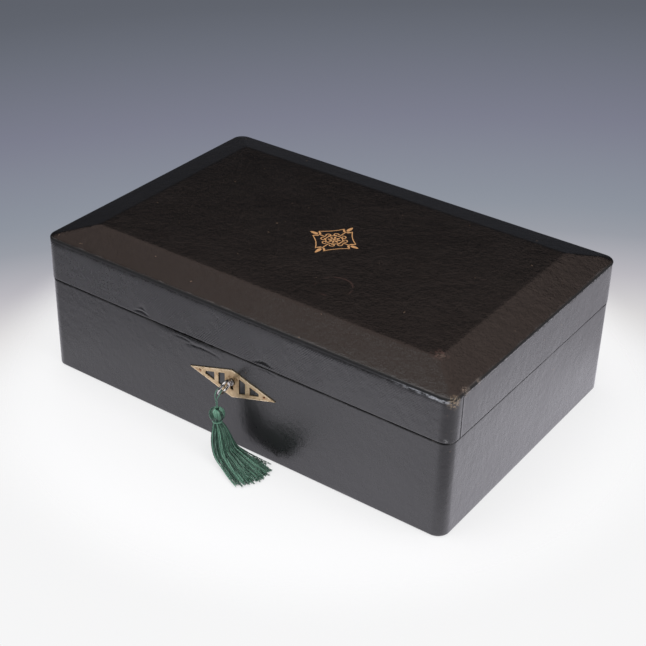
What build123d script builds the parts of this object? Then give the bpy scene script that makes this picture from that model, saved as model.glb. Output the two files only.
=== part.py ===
from build123d import *
import os
from math import cos, hypot, radians, sin, tan

# A leather covered dispatch box with a lever lock, stop hinges, a key and its tassel.
# Millimetres. Origin in the middle of the base, on the table. +X right, +Y back, +Z up.

os.makedirs("parts", exist_ok=True)

# Case, outside the leather
width = 406.0
depth = 267.0
parting = 88.5
lid_edge_height = 40.1
field_rise = 8.2
bevel_width = 33.2
corner_radius = 10.5
overhang = 0.5
rim_gap = 0.5
top_edge_round = 2.5
apron = 2.98

# Leather, boards and linings
leather = 1.2
board = 9.5
bottom_thickness = 8.0
rabbet = 4.0
cut_beyond = 1.0
base_turn_in = 15.0
rim_turn_down = 10.0
base_cover_edge = 0.6
base_cover_inset = 5.0
lid_board_edge = 5.0
lining = 1.2
floor_lining_thickness = 1.5
pad_thickness = 9.0
pad_crown = 3.0
pad_slope = 24.0
seam_width = 0.25
seam_depth = 0.6

# Dovetails
body_tails = 3
lid_tails = 1
tail_end = 15.0
tail_slope = 9.0

# Escutcheon and keyhole
escutcheon_width = 88.0
escutcheon_height = 26.5
escutcheon_thickness = 0.9
escutcheon_border = 3.6
escutcheon_below_key = 1.8
piercing_round = 0.5
inner_piercing = (7.2, 13.7)
outer_piercing = (18.1, 27.5)
escutcheon_pin_x = 33.0
escutcheon_pin_radius = 0.7
escutcheon_pin_head = 1.3
escutcheon_pin_dome = 0.6
escutcheon_pin_length = 3.2
keyhole_radius = 2.4
keyhole_slot = 2.0
keyhole_slot_drop = 6.9
keyhole_relief = 0.6

# Key
key_shank_radius = 2.0
key_fit = 0.08
key_collar_radius = 2.9
key_collar_length = 1.2
key_collar_round = 0.35
key_neck_radius = 1.6
key_collar_gap = 0.3
key_bit_thickness = 1.6
key_bit_radii = (6.5, 6.0, 5.4)
key_rest_angle = 70.0
key_end_gap = 0.4
bow_radius = 6.9
bow_wire = 0.9

# Lock
plate = 1.6
lever_thickness = 1.2
layer_gap = 0.2
plate_margin = 8.0
plate_below_case = 2.0
case_half_width = 28.0
case_below_key = 7.6
case_wall = 1.0
mortise_clearance = 0.25
drill_pin_radius = 1.0
selvedge_overhang = 0.9
hook_places = (-22.0, 8.0)
hook_shank = 3.0
hook_foot = 7.7
hook_foot_height = 2.5
hook_drop = 11.0
hook_clearance = 0.4
hook_swing = 0.4
hook_floor_gap = 2.05
bolt_throw = 4.446
bolt_left = -16.0
bolt_right = 24.5
bolt_above_key = 3.4
bolt_height = 9.5
talon = (0.1, 4.35)
talon_height = 3.6
claw_reach = 4.4
claw_riser = 3.0
claw_height = 3.0
claw_gap = 0.3
guide_places = (-8.0, 16.0)
guide_radius = 1.0
guide_clearance = 0.3
guide_below_top = 2.2
lever_pivot_x = -23.5
lever_pivot_rise = 3.0
lever_pivot_radius = 1.4
lever_boss = 3.2
lever_right = 14.0
lever_above_bolt = 1.1
lever_shoulder = 9.6
lever_belly_clearance = 0.3
stump_x = 10.0
stump_rise = 5.5
stump_radius = 1.0
gate_clearance = 0.3
gate_pocket = 1.8
gate_pocket_width = 2.6
spring_thickness = 0.4
spring_width = 1.0
spring_foot_x = -16.0
spring_foot_length = 4.0
spring_end_length = 1.2
spring_tip_x = 2.0

# Screws
lock_screw_rises = (3.0, 17.0)
lock_screw_length = 6.5
selvedge_screw_length = 8.0
screw_radius = 1.1
screw_head_radius = 2.2
screw_head_height = 1.1
screw_slot_width = 0.5
screw_slot_depth = 0.45

# Hinges
hinge_x = 133.0
hinge_length = 50.0
hinge_leaf = 3.2
hinge_leaf_gap = 0.05
hinge_leaf_width = 9.5
hinge_axis_setback = 0.3
hinge_barrel_radius = 2.2
hinge_barrel_clearance = 0.15
hinge_knuckles = 5
hinge_knuckle_gap = 0.1
hinge_pin_radius = 1.1
hinge_pin_fit = 0.05
hinge_recess_fit = 0.1
hinge_screw_pitch = 17.0
hinge_screw_setback = 5.8
hinge_screw_length = 9.5
stop_angle = 95.0
stop_clearance = 1.5
stop_reach = 2.9
stop_drop = 6.0

# Tassel
cord_diameter = 1.1
loop_bend = 0.45
tassel_head_radius = 6.4
tassel_head_flat = 0.4
tassel_head_offset = (-0.5, -2.2)
tassel_head_drop = 21.5
binding_radius = 4.2
binding_height = 2.0
binding_sink = 0.9
binding_round = 0.6
skirt_ground = 0.5
skirt_fan_angle = -8.0

# Faces and limits worked out from the sizes above
plate_half_width = case_half_width + plate_margin
lock_screw_x = case_half_width + plate_margin / 2
body_rim = parting - rim_gap / 2
lid_rim = parting + rim_gap / 2
wood_base = base_cover_edge + leather
body_wood_top = body_rim - leather
lid_wood_base = lid_rim + leather
floor_top = wood_base + bottom_thickness
lining_base = floor_top + floor_lining_thickness
lid_edge = parting + lid_edge_height
lid_field = lid_edge + field_rise
lid_wood_edge = lid_edge - leather
lid_wood_field = lid_field - leather
lid_frame_top = lid_wood_edge - lid_board_edge
apron_bottom = lid_edge - apron
wood_width = width - 2 * leather
wood_depth = depth - 2 * leather
wood_corner = corner_radius - leather
body_wood = (wood_width, wood_depth, wood_corner)
inner_width = wood_width - 2 * board
inner_depth = wood_depth - 2 * board
lid_width = width + 2 * overhang
lid_depth = depth + 2 * overhang
lid_corner = corner_radius + overhang
lid_wood_width = lid_width - 2 * leather
lid_wood_depth = lid_depth - 2 * leather
lid_wood_corner = lid_corner - leather
lid_wood = (lid_wood_width, lid_wood_depth, lid_wood_corner)
lid_outside = (lid_width, lid_depth, lid_corner)
field_width = lid_width - 2 * bevel_width
field_depth = lid_depth - 2 * bevel_width
front_face = -depth / 2
front_wood = -wood_depth / 2
front_inner = -inner_depth / 2
escutcheon_face = front_face - escutcheon_thickness

# Lock layers, counted forward from the inner face of the front board
backplate_front = front_inner - plate
bolt_back = backplate_front - layer_gap
bolt_front = bolt_back - plate
lever_backs = (bolt_front - layer_gap, bolt_front - 2 * layer_gap - lever_thickness)
lever_stack_front = lever_backs[1] - lever_thickness
cap_inner = lever_stack_front - layer_gap
cap_front = cap_inner - case_wall
selvedge_front = cap_front - selvedge_overhang
selvedge_base = body_rim - plate
case_top = selvedge_base
link_top = lid_rim + plate
hook_bottom = lid_rim - hook_drop - layer_gap
hook_back = bolt_back
hook_front = bolt_front
claw_bottom = hook_bottom + hook_foot_height + claw_gap

# Lock heights, counted down from the hooks
bolt_top = hook_bottom - hook_floor_gap
bolt_bottom = bolt_top - bolt_height
key_height = bolt_bottom - bolt_above_key
case_bottom = key_height - case_below_key
plate_bottom = case_bottom - plate_below_case
guide_height = bolt_top - guide_below_top
stump_z = bolt_bottom + stump_rise
lever_pivot = (lever_pivot_x, bolt_bottom + lever_pivot_rise)
lever_top = bolt_top + lever_above_bolt
escutcheon_height_above_table = key_height - escutcheon_below_key

# Hinge axis
hinge_y = depth / 2 + overhang + hinge_axis_setback
hinge_z = parting
leaf_front = hinge_y - hinge_leaf_width
recess_half = hinge_length / 2 + hinge_recess_fit
knuckle_pitch = hinge_length / hinge_knuckles

# Key points: the bow ring and the place on its wire where the tassel hangs
collar_back = escutcheon_face - key_collar_gap
collar_front = collar_back - key_collar_length
bow_centre_y = collar_front - bow_wire - bow_radius
hang_y = bow_centre_y - bow_radius
key_angle = radians(key_rest_angle)
head_x = tassel_head_offset[0]
head_y = hang_y + tassel_head_offset[1]
head_z = key_height - tassel_head_drop
head_flat_z = head_z + tassel_head_radius - tassel_head_flat


def block(x, y, z, mode=Mode.ADD):
    """A block between two limits on each axis."""
    with Locations(((x[0] + x[1]) / 2, (y[0] + y[1]) / 2, (z[0] + z[1]) / 2)):
        Box(x[1] - x[0], y[1] - y[0], z[1] - z[0], mode=mode)


def rounded(size_x, size_y, radius, low, high, mode=Mode.ADD):
    """An upright prism with rounded corners, centred on the box."""
    with BuildSketch(Plane.XY.offset(low)) as outline:
        RectangleRounded(size_x, size_y, radius)
    extrude(outline.sketch, amount=high - low, mode=mode)


def raised_field(size_x, size_y, low, high, mode=Mode.ADD):
    """The raised field and its four mitred bevels, from the lid's edge up."""
    with BuildSketch(Plane.XY.offset(low)) as edge:
        Rectangle(size_x, size_y)
    with BuildSketch(Plane.XY.offset(high)) as field:
        Rectangle(field_width, field_depth)
    loft([edge.sketch.face(), field.sketch.face()], ruled=True, mode=mode)


def dovetails(count, low, high, outer_x, outer_y, sides, ends, mode=Mode.ADD):
    """Tails on the side boards, seen on their faces and widest at the corner."""
    flare = (outer_y - inner_depth) / 2 * tan(radians(tail_slope))
    pitch = (high - low) / count
    thickness = (outer_x - inner_width) / 2
    for side in sides:
        near = inner_width / 2 if side > 0 else -outer_x / 2
        with BuildSketch(Plane.YZ.offset(near)) as tails:
            for end in ends:
                for index in range(count):
                    middle = low + (index + 0.5) * pitch
                    shoulder = tail_end / 2 - flare
                    points = (
                        (end * inner_depth / 2, middle - shoulder),
                        (end * outer_y / 2, middle - tail_end / 2),
                        (end * outer_y / 2, middle + tail_end / 2),
                        (end * inner_depth / 2, middle + shoulder),
                    )
                    Polygon(*points, align=None)
        extrude(tails.sketch, amount=thickness, mode=mode)


def end_board(sign, count, low, high, outer_x, outer_y, radius):
    """The front or back board, with the sockets that take the side boards' tails."""
    near = sorted((sign * inner_depth / 2, sign * outer_y / 2))
    block((-outer_x / 2, outer_x / 2), near, (low, high))
    dovetails(count, low, high, outer_x, outer_y, (-1, 1), (sign,), mode=Mode.SUBTRACT)
    rounded(outer_x, outer_y, radius, low, high, mode=Mode.INTERSECT)


def side_board(sign, count, low, high, outer_x, outer_y, radius):
    """The left or right board, with its tails."""
    near = sorted((sign * inner_width / 2, sign * outer_x / 2))
    block(near, (-inner_depth / 2, inner_depth / 2), (low, high))
    dovetails(count, low, high, outer_x, outer_y, (sign,), (-1, 1))
    rounded(outer_x, outer_y, radius, low, high, mode=Mode.INTERSECT)


def bottom_rabbet(mode=Mode.SUBTRACT):
    """The space of the bottom board, let into the four sides."""
    half_x = inner_width / 2 + rabbet
    half_y = inner_depth / 2 + rabbet
    block((-half_x, half_x), (-half_y, half_y), (wood_base, floor_top), mode=mode)


def keyhole(near, far, relief=0.0, mode=Mode.SUBTRACT):
    """A keyhole between two planes that face the front."""
    with BuildSketch(Plane.XZ.offset(-near)) as hole:
        with Locations((0, key_height)):
            Circle(keyhole_radius + relief)
        with Locations((0, key_height - (keyhole_slot_drop + relief) / 2)):
            Rectangle(keyhole_slot + 2 * relief, keyhole_slot_drop + relief)
    extrude(hole.sketch, amount=near - far, mode=mode)


def screws(places, length, mode=Mode.ADD):
    """Countersunk screws: heads flush with each place, shanks into it."""
    with Locations(*places):
        Cylinder(screw_radius, length, align=(Align.CENTER, Align.CENTER, Align.MAX), mode=mode)
        Cone(
            screw_radius,
            screw_head_radius,
            screw_head_height,
            align=(Align.CENTER, Align.CENTER, Align.MAX),
            mode=mode,
        )


def screw_slots(places):
    """The driver slots across the screw heads."""
    with Locations(*places):
        Box(
            2 * (screw_head_radius + cut_beyond),
            screw_slot_width,
            screw_slot_depth,
            align=(Align.CENTER, Align.CENTER, Align.MAX),
            mode=Mode.SUBTRACT,
        )


def escutcheon_pins_at(radius, near, far, mode=Mode.ADD):
    """The shanks of the two pins, or the holes that they are driven into."""
    with BuildSketch(Plane.XZ.offset(-near)) as pins:
        with Locations((-escutcheon_pin_x, escutcheon_height_above_table)):
            Circle(radius)
        with Locations((escutcheon_pin_x, escutcheon_height_above_table)):
            Circle(radius)
    extrude(pins.sketch, amount=near - far, mode=mode)


def hook_slots(low, high):
    """Slots that let the two hooks of the link plate down into the lock."""
    back = hook_back + hook_swing
    front = hook_front - hook_swing
    for start in hook_places:
        ends = (start - hook_clearance, start + hook_foot + hook_clearance)
        block(ends, (front, back), (low, high), mode=Mode.SUBTRACT)


# Places of the screws, each with +Z out of the head
backplate_screw_places = [
    Plane(origin=(sign * lock_screw_x, front_inner, case_bottom + rise), z_dir=(0, 1, 0))
    for sign in (-1, 1)
    for rise in lock_screw_rises
]
selvedge_screw_y = (selvedge_front + front_inner) / 2
selvedge_screw_places = [
    Plane(origin=(sign * lock_screw_x, selvedge_screw_y, body_rim), z_dir=(0, 0, 1))
    for sign in (-1, 1)
]
link_screw_places = [
    Plane(origin=(sign * lock_screw_x, selvedge_screw_y, lid_rim), z_dir=(0, 0, -1))
    for sign in (-1, 1)
]
hinge_screw_y = hinge_y - hinge_screw_setback


def hinge_screw_places(up):
    """Three screws in each of the two leaves that face up (1) or down (-1)."""
    return [
        Plane(
            origin=(
                side * hinge_x + step * hinge_screw_pitch,
                hinge_screw_y,
                hinge_z - up * hinge_leaf_gap,
            ),
            z_dir=(0, 0, up),
        )
        for side in (-1, 1)
        for step in (-1, 0, 1)
    ]


def hinge_recess(up, wall):
    """The two recesses cut for the leaves, below (1) or above (-1) the parting line."""
    levels = sorted((hinge_z, hinge_z - up * hinge_leaf))
    for side in (-1, 1):
        ends = (side * hinge_x - recess_half, side * hinge_x + recess_half)
        block(ends, (leaf_front, wall + cut_beyond), levels, mode=Mode.SUBTRACT)


# Body: front board, with the mortise for the lock
with BuildPart() as front_board:
    end_board(-1, body_tails, wood_base, body_wood_top, *body_wood)
    bottom_rabbet()
    mortise_half = case_half_width + mortise_clearance
    mortise_y = (cap_front - mortise_clearance, front_inner)
    mortise_z = (case_bottom - mortise_clearance, body_wood_top)
    block((-mortise_half, mortise_half), mortise_y, mortise_z, mode=Mode.SUBTRACT)
    plate_x = (-plate_half_width, plate_half_width)
    block(plate_x, (backplate_front, front_inner), (plate_bottom, body_wood_top), mode=Mode.SUBTRACT)
    block(plate_x, (selvedge_front, front_inner), (selvedge_base, body_wood_top), mode=Mode.SUBTRACT)
    keyhole(front_inner, front_wood, relief=keyhole_relief)
    screws(backplate_screw_places, lock_screw_length, mode=Mode.SUBTRACT)
    screws(selvedge_screw_places, selvedge_screw_length, mode=Mode.SUBTRACT)
    escutcheon_pins_at(
        escutcheon_pin_radius, escutcheon_face + escutcheon_pin_length, front_wood, mode=Mode.SUBTRACT
    )
front_board.part.label = "front_board"
export_step(front_board.part, "parts/front_board.step")

# Body: back board, with the recesses for the hinges
with BuildPart() as back_board:
    end_board(1, body_tails, wood_base, body_wood_top, *body_wood)
    bottom_rabbet()
    hinge_recess(1, wood_depth / 2)
    screws(hinge_screw_places(1), hinge_screw_length, mode=Mode.SUBTRACT)
back_board.part.label = "back_board"
export_step(back_board.part, "parts/back_board.step")

# Body: side boards
for name, sign in (("left_board", -1), ("right_board", 1)):
    with BuildPart() as side:
        side_board(sign, body_tails, wood_base, body_wood_top, *body_wood)
        bottom_rabbet()
    side.part.label = name
    export_step(side.part, f"parts/{name}.step")

# Body: bottom board, let into the sides
with BuildPart() as bottom_board:
    bottom_rabbet(mode=Mode.ADD)
bottom_board.part.label = "bottom_board"
export_step(bottom_board.part, "parts/bottom_board.step")

# Body: one leather cover, turned in under the base and over the rim
opening_x = inner_width / 2 - leather
opening_y = inner_depth / 2 - leather
with BuildPart() as body_leather:
    rounded(width, depth, corner_radius, base_cover_edge, body_rim)
    rounded(*body_wood, wood_base, body_wood_top, mode=Mode.SUBTRACT)
    turn_down = (body_rim - rim_turn_down, body_rim)
    half_x = inner_width / 2
    half_y = inner_depth / 2
    block((-half_x, half_x), (-half_y, half_y), turn_down)
    block((-opening_x, opening_x), (-opening_y, opening_y), turn_down, mode=Mode.SUBTRACT)
    under_x = width / 2 - base_turn_in
    under_y = depth / 2 - base_turn_in
    block((-under_x, under_x), (-under_y, under_y), (base_cover_edge, wood_base), mode=Mode.SUBTRACT)
    block(plate_x, (selvedge_front, -opening_y), turn_down, mode=Mode.SUBTRACT)
    hinge_recess(1, depth / 2)
    keyhole(front_wood, front_face, relief=keyhole_relief)
    escutcheon_pins_at(escutcheon_pin_radius, front_wood, front_face, mode=Mode.SUBTRACT)
    seam_x = (-seam_width / 2, seam_width / 2)
    block(seam_x, (depth / 2 - seam_depth, depth / 2), (base_cover_edge, body_rim), mode=Mode.SUBTRACT)
body_leather.part.label = "body_leather"
export_step(body_leather.part, "parts/body_leather.step")

# Body: cover of the base, which laps over the turned-in leather
with BuildPart() as base_cover:
    cover_x = width - 2 * base_cover_inset
    cover_y = depth - 2 * base_cover_inset
    rounded(cover_x, cover_y, corner_radius, 0, base_cover_edge)
    block((-under_x, under_x), (-under_y, under_y), (base_cover_edge, wood_base))
base_cover.part.label = "base_cover"
export_step(base_cover.part, "parts/base_cover.step")

# Body: linings of the floor and of the four sides
lining_top = body_rim - rim_turn_down
with BuildPart() as floor_lining:
    block((-half_x, half_x), (-half_y, half_y), (floor_top, lining_base))
floor_lining.part.label = "floor_lining"
export_step(floor_lining.part, "parts/floor_lining.step")

with BuildPart() as front_lining:
    block((-half_x, half_x), (-half_y, -half_y + lining), (lining_base, lining_top))
    cut_half = plate_half_width + mortise_clearance
    block(
        (-cut_half, cut_half),
        (-half_y, -half_y + lining),
        (plate_bottom - mortise_clearance, lining_top),
        mode=Mode.SUBTRACT,
    )
front_lining.part.label = "front_lining"
export_step(front_lining.part, "parts/front_lining.step")

with BuildPart() as back_lining:
    block((-half_x, half_x), (half_y - lining, half_y), (lining_base, lining_top))
back_lining.part.label = "back_lining"
export_step(back_lining.part, "parts/back_lining.step")

for name, sign in (("left_lining", -1), ("right_lining", 1)):
    with BuildPart() as side_lining:
        near = sorted((sign * half_x, sign * (half_x - lining)))
        block(near, (-half_y + lining, half_y - lining), (lining_base, lining_top))
    side_lining.part.label = name
    export_step(side_lining.part, f"parts/{name}.step")

# Lid: front rail, recessed for the link plate
with BuildPart() as lid_front_rail:
    end_board(-1, lid_tails, lid_wood_base, lid_frame_top, *lid_wood)
    block(plate_x, (selvedge_front, front_inner), (lid_wood_base, link_top), mode=Mode.SUBTRACT)
    screws(link_screw_places, selvedge_screw_length, mode=Mode.SUBTRACT)
lid_front_rail.part.label = "lid_front_rail"
export_step(lid_front_rail.part, "parts/lid_front_rail.step")

# Lid: back rail, recessed for the hinges
with BuildPart() as lid_back_rail:
    end_board(1, lid_tails, lid_wood_base, lid_frame_top, *lid_wood)
    hinge_recess(-1, lid_wood_depth / 2)
    screws(hinge_screw_places(-1), hinge_screw_length, mode=Mode.SUBTRACT)
lid_back_rail.part.label = "lid_back_rail"
export_step(lid_back_rail.part, "parts/lid_back_rail.step")

for name, sign in (("lid_left_rail", -1), ("lid_right_rail", 1)):
    with BuildPart() as rail:
        side_board(sign, lid_tails, lid_wood_base, lid_frame_top, *lid_wood)
    rail.part.label = name
    export_step(rail.part, f"parts/{name}.step")

# Lid: top board, fielded, with four mitred bevels
with BuildPart() as lid_top_board:
    rounded(*lid_wood, lid_frame_top, lid_wood_edge)
    raised_field(lid_wood_width, lid_wood_depth, lid_wood_edge, lid_wood_field)
    rounded(*lid_wood, lid_frame_top, lid_wood_field, mode=Mode.INTERSECT)
lid_top_board.part.label = "lid_top_board"
export_step(lid_top_board.part, "parts/lid_top_board.step")

# Lid: leather of the top, drawn over the edge
with BuildPart() as lid_top_leather:
    rounded(*lid_outside, apron_bottom, lid_edge)
    raised_field(lid_width, lid_depth, lid_edge, lid_field)
    rounded(*lid_outside, apron_bottom, lid_field, mode=Mode.INTERSECT)
    arris = [
        edge
        for edge in lid_top_leather.edges()
        if (
            abs(abs(edge.center().X) - lid_width / 2) < lid_corner / 2
            or abs(abs(edge.center().Y) - lid_depth / 2) < lid_corner / 2
        )
        and edge.bounding_box().min.Z > lid_edge - leather
        and edge.bounding_box().max.Z < lid_edge + field_rise / 2
    ]
    fillet(arris, top_edge_round)
    rounded(*lid_wood, apron_bottom, lid_wood_edge, mode=Mode.SUBTRACT)
    add(lid_top_board.part, mode=Mode.SUBTRACT)
lid_top_leather.part.label = "lid_top_leather"
export_step(lid_top_leather.part, "parts/lid_top_leather.step")

# Lid: leather of the sides, turned over the rim, with its seam by the front right corner
with BuildPart() as lid_side_leather:
    rounded(*lid_outside, lid_rim, apron_bottom)
    rounded(*lid_wood, lid_wood_base, apron_bottom, mode=Mode.SUBTRACT)
    turn_up = (lid_rim, lid_rim + rim_turn_down)
    block((-half_x, half_x), (-half_y, half_y), turn_up)
    block((-opening_x, opening_x), (-opening_y, opening_y), turn_up, mode=Mode.SUBTRACT)
    block(plate_x, (selvedge_front, -opening_y), turn_up, mode=Mode.SUBTRACT)
    hinge_recess(-1, lid_depth / 2)
    seam_y = -lid_depth / 2 + lid_corner
    block(
        (lid_width / 2 - seam_depth, lid_width / 2),
        (seam_y - seam_width / 2, seam_y + seam_width / 2),
        (lid_rim, apron_bottom),
        mode=Mode.SUBTRACT,
    )
lid_side_leather.part.label = "lid_side_leather"
export_step(lid_side_leather.part, "parts/lid_side_leather.step")

# Lid: linings of the four rails, between the turned leather and the top board
lid_lining_z = (lid_rim + rim_turn_down, lid_frame_top)
for name, sign in (("lid_front_lining", -1), ("lid_back_lining", 1)):
    with BuildPart() as rail_lining:
        near = sorted((sign * half_y, sign * (half_y - lining)))
        block((-half_x, half_x), near, lid_lining_z)
    rail_lining.part.label = name
    export_step(rail_lining.part, f"parts/{name}.step")

for name, sign in (("lid_left_lining", -1), ("lid_right_lining", 1)):
    with BuildPart() as rail_lining:
        near = sorted((sign * half_x, sign * (half_x - lining)))
        block(near, (-half_y + lining, half_y - lining), lid_lining_z)
    rail_lining.part.label = name
    export_step(rail_lining.part, f"parts/{name}.step")

# Lid: padded lining, crowned towards the middle
with BuildPart() as lid_pad:
    pad_x = 2 * (half_x - lining)
    pad_y = 2 * (half_y - lining)
    pad_base = lid_frame_top - pad_thickness
    block((-pad_x / 2, pad_x / 2), (-pad_y / 2, pad_y / 2), (pad_base + pad_crown, lid_frame_top))
    with BuildSketch(Plane.XY.offset(pad_base + pad_crown)) as pad_edge:
        Rectangle(pad_x, pad_y)
    with BuildSketch(Plane.XY.offset(pad_base)) as pad_crest:
        Rectangle(pad_x - 2 * pad_slope, pad_y - 2 * pad_slope)
    loft([pad_edge.sketch.face(), pad_crest.sketch.face()], ruled=True)
lid_pad.part.label = "lid_pad"
export_step(lid_pad.part, "parts/lid_pad.step")

# Escutcheon: a pierced lozenge with its keyhole
with BuildPart() as escutcheon:
    half_w = escutcheon_width / 2
    half_h = escutcheon_height / 2
    drop = escutcheon_border * hypot(half_w, half_h) / half_w
    inner_w = half_w * (half_h - drop) / half_h
    plate_plane = Plane(
        origin=(0, front_face, escutcheon_height_above_table), x_dir=(1, 0, 0), z_dir=(0, -1, 0)
    )
    with BuildSketch(plate_plane):
        Polygon((-half_w, 0), (0, -half_h), (half_w, 0), (0, half_h))
    extrude(amount=escutcheon_thickness)
    solid_bands = (
        (-half_w, -outer_piercing[1]),
        (-outer_piercing[0], -inner_piercing[1]),
        (-inner_piercing[0], inner_piercing[0]),
        (inner_piercing[1], outer_piercing[0]),
        (outer_piercing[1], half_w),
    )
    with BuildSketch(plate_plane) as piercings:
        Polygon((-inner_w, 0), (0, drop - half_h), (inner_w, 0), (0, half_h - drop))
        for left, right in solid_bands:
            with Locations(((left + right) / 2, 0)):
                Rectangle(right - left, escutcheon_height, mode=Mode.SUBTRACT)
        fillet(piercings.vertices(), piercing_round)
    extrude(amount=escutcheon_thickness, mode=Mode.SUBTRACT)
    keyhole(front_face, escutcheon_face)
    escutcheon_pins_at(escutcheon_pin_radius, front_face, escutcheon_face, mode=Mode.SUBTRACT)
escutcheon.part.label = "escutcheon"
export_step(escutcheon.part, "parts/escutcheon.step")

# Two pins with low domed heads hold the escutcheon
with BuildPart() as escutcheon_pins:
    pin_end = escutcheon_face + escutcheon_pin_length
    escutcheon_pins_at(escutcheon_pin_radius, pin_end, escutcheon_face)
    for sign in (-1, 1):
        seat = (sign * escutcheon_pin_x, escutcheon_face, escutcheon_height_above_table)
        with BuildSketch(Plane(origin=seat, x_dir=(1, 0, 0), z_dir=(0, 0, 1))) as section:
            with BuildLine():
                Line((0, 0), (escutcheon_pin_head, 0))
                TangentArc((0, -escutcheon_pin_dome), (escutcheon_pin_head, 0), tangent=(1, 0))
                Line((0, -escutcheon_pin_dome), (0, 0))
            make_face()
        revolve(section.sketch, axis=Axis(seat, (0, 1, 0)))
escutcheon_pins.part.label = "escutcheon_pins"
export_step(escutcheon_pins.part, "parts/escutcheon_pins.step")

# Lock: backplate and selvedge in one, with the drill pin, guide studs and lever pivot
with BuildPart() as lock_plate:
    block(plate_x, (backplate_front, front_inner), (plate_bottom, body_rim))
    block(plate_x, (selvedge_front, front_inner), (selvedge_base, body_rim))
    hook_slots(selvedge_base, body_rim)
    screws(backplate_screw_places, plate + cut_beyond, mode=Mode.SUBTRACT)
    screws(selvedge_screw_places, plate + cut_beyond, mode=Mode.SUBTRACT)
    with BuildSketch(Plane.XZ.offset(-backplate_front)) as drill_pin:
        with Locations((0, key_height)):
            Circle(drill_pin_radius)
    extrude(drill_pin.sketch, amount=backplate_front - front_wood)
    with BuildSketch(Plane.XZ.offset(-backplate_front)) as pivot_post:
        with Locations(lever_pivot):
            Circle(lever_pivot_radius)
    extrude(pivot_post.sketch, amount=backplate_front - cap_inner)
    with BuildSketch(Plane.XZ.offset(-backplate_front)) as guides:
        with Locations(*[(place, guide_height) for place in guide_places]):
            Circle(guide_radius)
    extrude(guides.sketch, amount=backplate_front - bolt_front)
lock_plate.part.label = "lock_plate"
export_step(lock_plate.part, "parts/lock_plate.step")

# Lock: cap, a tray over the works with the inner keyhole
with BuildPart() as lock_cap:
    case_x = (-case_half_width, case_half_width)
    block(case_x, (cap_front, backplate_front), (case_bottom, case_top))
    block(
        (case_x[0] + case_wall, case_x[1] - case_wall),
        (cap_inner, backplate_front),
        (case_bottom + case_wall, case_top - case_wall),
        mode=Mode.SUBTRACT,
    )
    hook_slots(case_top - case_wall, case_top)
    keyhole(cap_inner, cap_front)
lock_cap.part.label = "lock_cap"
export_step(lock_cap.part, "parts/lock_cap.step")

# Lock: sliding bolt with its talon, two claws, guide slots and stump
with BuildPart() as lock_bolt:
    bolt_y = (bolt_front, bolt_back)
    block((bolt_left, bolt_right), bolt_y, (bolt_bottom, bolt_top))
    block(talon, bolt_y, (bolt_bottom, bolt_bottom + talon_height), mode=Mode.SUBTRACT)
    for start in hook_places:
        nose = start + hook_foot + hook_clearance
        riser = nose + claw_reach
        block((riser, riser + claw_riser), bolt_y, (bolt_top, claw_bottom + claw_height))
        block((nose, riser), bolt_y, (claw_bottom, claw_bottom + claw_height))
    guide_half = guide_radius + guide_clearance
    with BuildSketch(Plane.XZ.offset(-bolt_back)) as guide_slots:
        for place in guide_places:
            with Locations((place + bolt_throw / 2, guide_height)):
                SlotOverall(bolt_throw + 2 * guide_half, 2 * guide_half)
    extrude(guide_slots.sketch, amount=plate, mode=Mode.SUBTRACT)
    with BuildSketch(Plane.XZ.offset(-bolt_front)) as stump:
        with Locations((stump_x, stump_z)):
            Circle(stump_radius)
    extrude(stump.sketch, amount=bolt_front - lever_stack_front)
lock_bolt.part.label = "lock_bolt"
export_step(lock_bolt.part, "parts/lock_bolt.step")

# Lock: two levers, lifted by the key, each with its belly, gate and pockets
gate_half = stump_radius + gate_clearance
gate_left = stump_x - bolt_throw - gate_half
gate_right = stump_x + gate_half
for index, name in enumerate(("lever_one", "lever_two")):
    belly = key_bit_radii[index + 1] + lever_belly_clearance
    with BuildPart() as lever:
        with BuildSketch(Plane.XZ.offset(-lever_backs[index])):
            with BuildLine():
                Polyline(
                    (lever_pivot[0], lever_pivot[1] - lever_boss),
                    (lever_right, bolt_bottom),
                    (lever_right, lever_top),
                    (lever_pivot[0] + lever_shoulder, lever_top),
                    (lever_pivot[0], lever_pivot[1] + lever_boss),
                    (lever_pivot[0], lever_pivot[1] - lever_boss),
                )
            make_face()
            with Locations(lever_pivot):
                Circle(lever_boss)
                Circle(lever_pivot_radius + key_fit, mode=Mode.SUBTRACT)
            with Locations((0, key_height)):
                Circle(belly, mode=Mode.SUBTRACT)
            with Locations(((gate_left + gate_right) / 2, stump_z)):
                Rectangle(gate_right - gate_left, 2 * gate_half, mode=Mode.SUBTRACT)
            pocket_z = stump_z + gate_half + gate_pocket / 2
            with Locations(
                (gate_left + gate_pocket_width / 2, pocket_z),
                (gate_right - gate_pocket_width / 2, pocket_z),
            ):
                Rectangle(gate_pocket_width, gate_pocket, mode=Mode.SUBTRACT)
        extrude(amount=lever_thickness)
    lever.part.label = name
    export_step(lever.part, f"parts/{name}.step")

# Lock: flat springs that press the levers down from the roof of the case
with BuildPart() as lever_springs:
    roof = case_top - case_wall
    for back in lever_backs:
        middle = back - lever_thickness / 2
        with BuildSketch(Plane.XZ.offset(-middle - spring_width / 2)) as strip:
            with BuildLine():
                Polyline(
                    (spring_foot_x, lever_top),
                    (spring_foot_x + spring_foot_length, lever_top),
                    (spring_tip_x, roof),
                    (spring_tip_x - spring_end_length, roof),
                    (spring_foot_x + spring_foot_length - spring_thickness, lever_top + spring_thickness),
                    (spring_foot_x, lever_top + spring_thickness),
                    (spring_foot_x, lever_top),
                )
            make_face()
        extrude(strip.sketch, amount=spring_width)
lever_springs.part.label = "lever_springs"
export_step(lever_springs.part, "parts/lever_springs.step")

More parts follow.
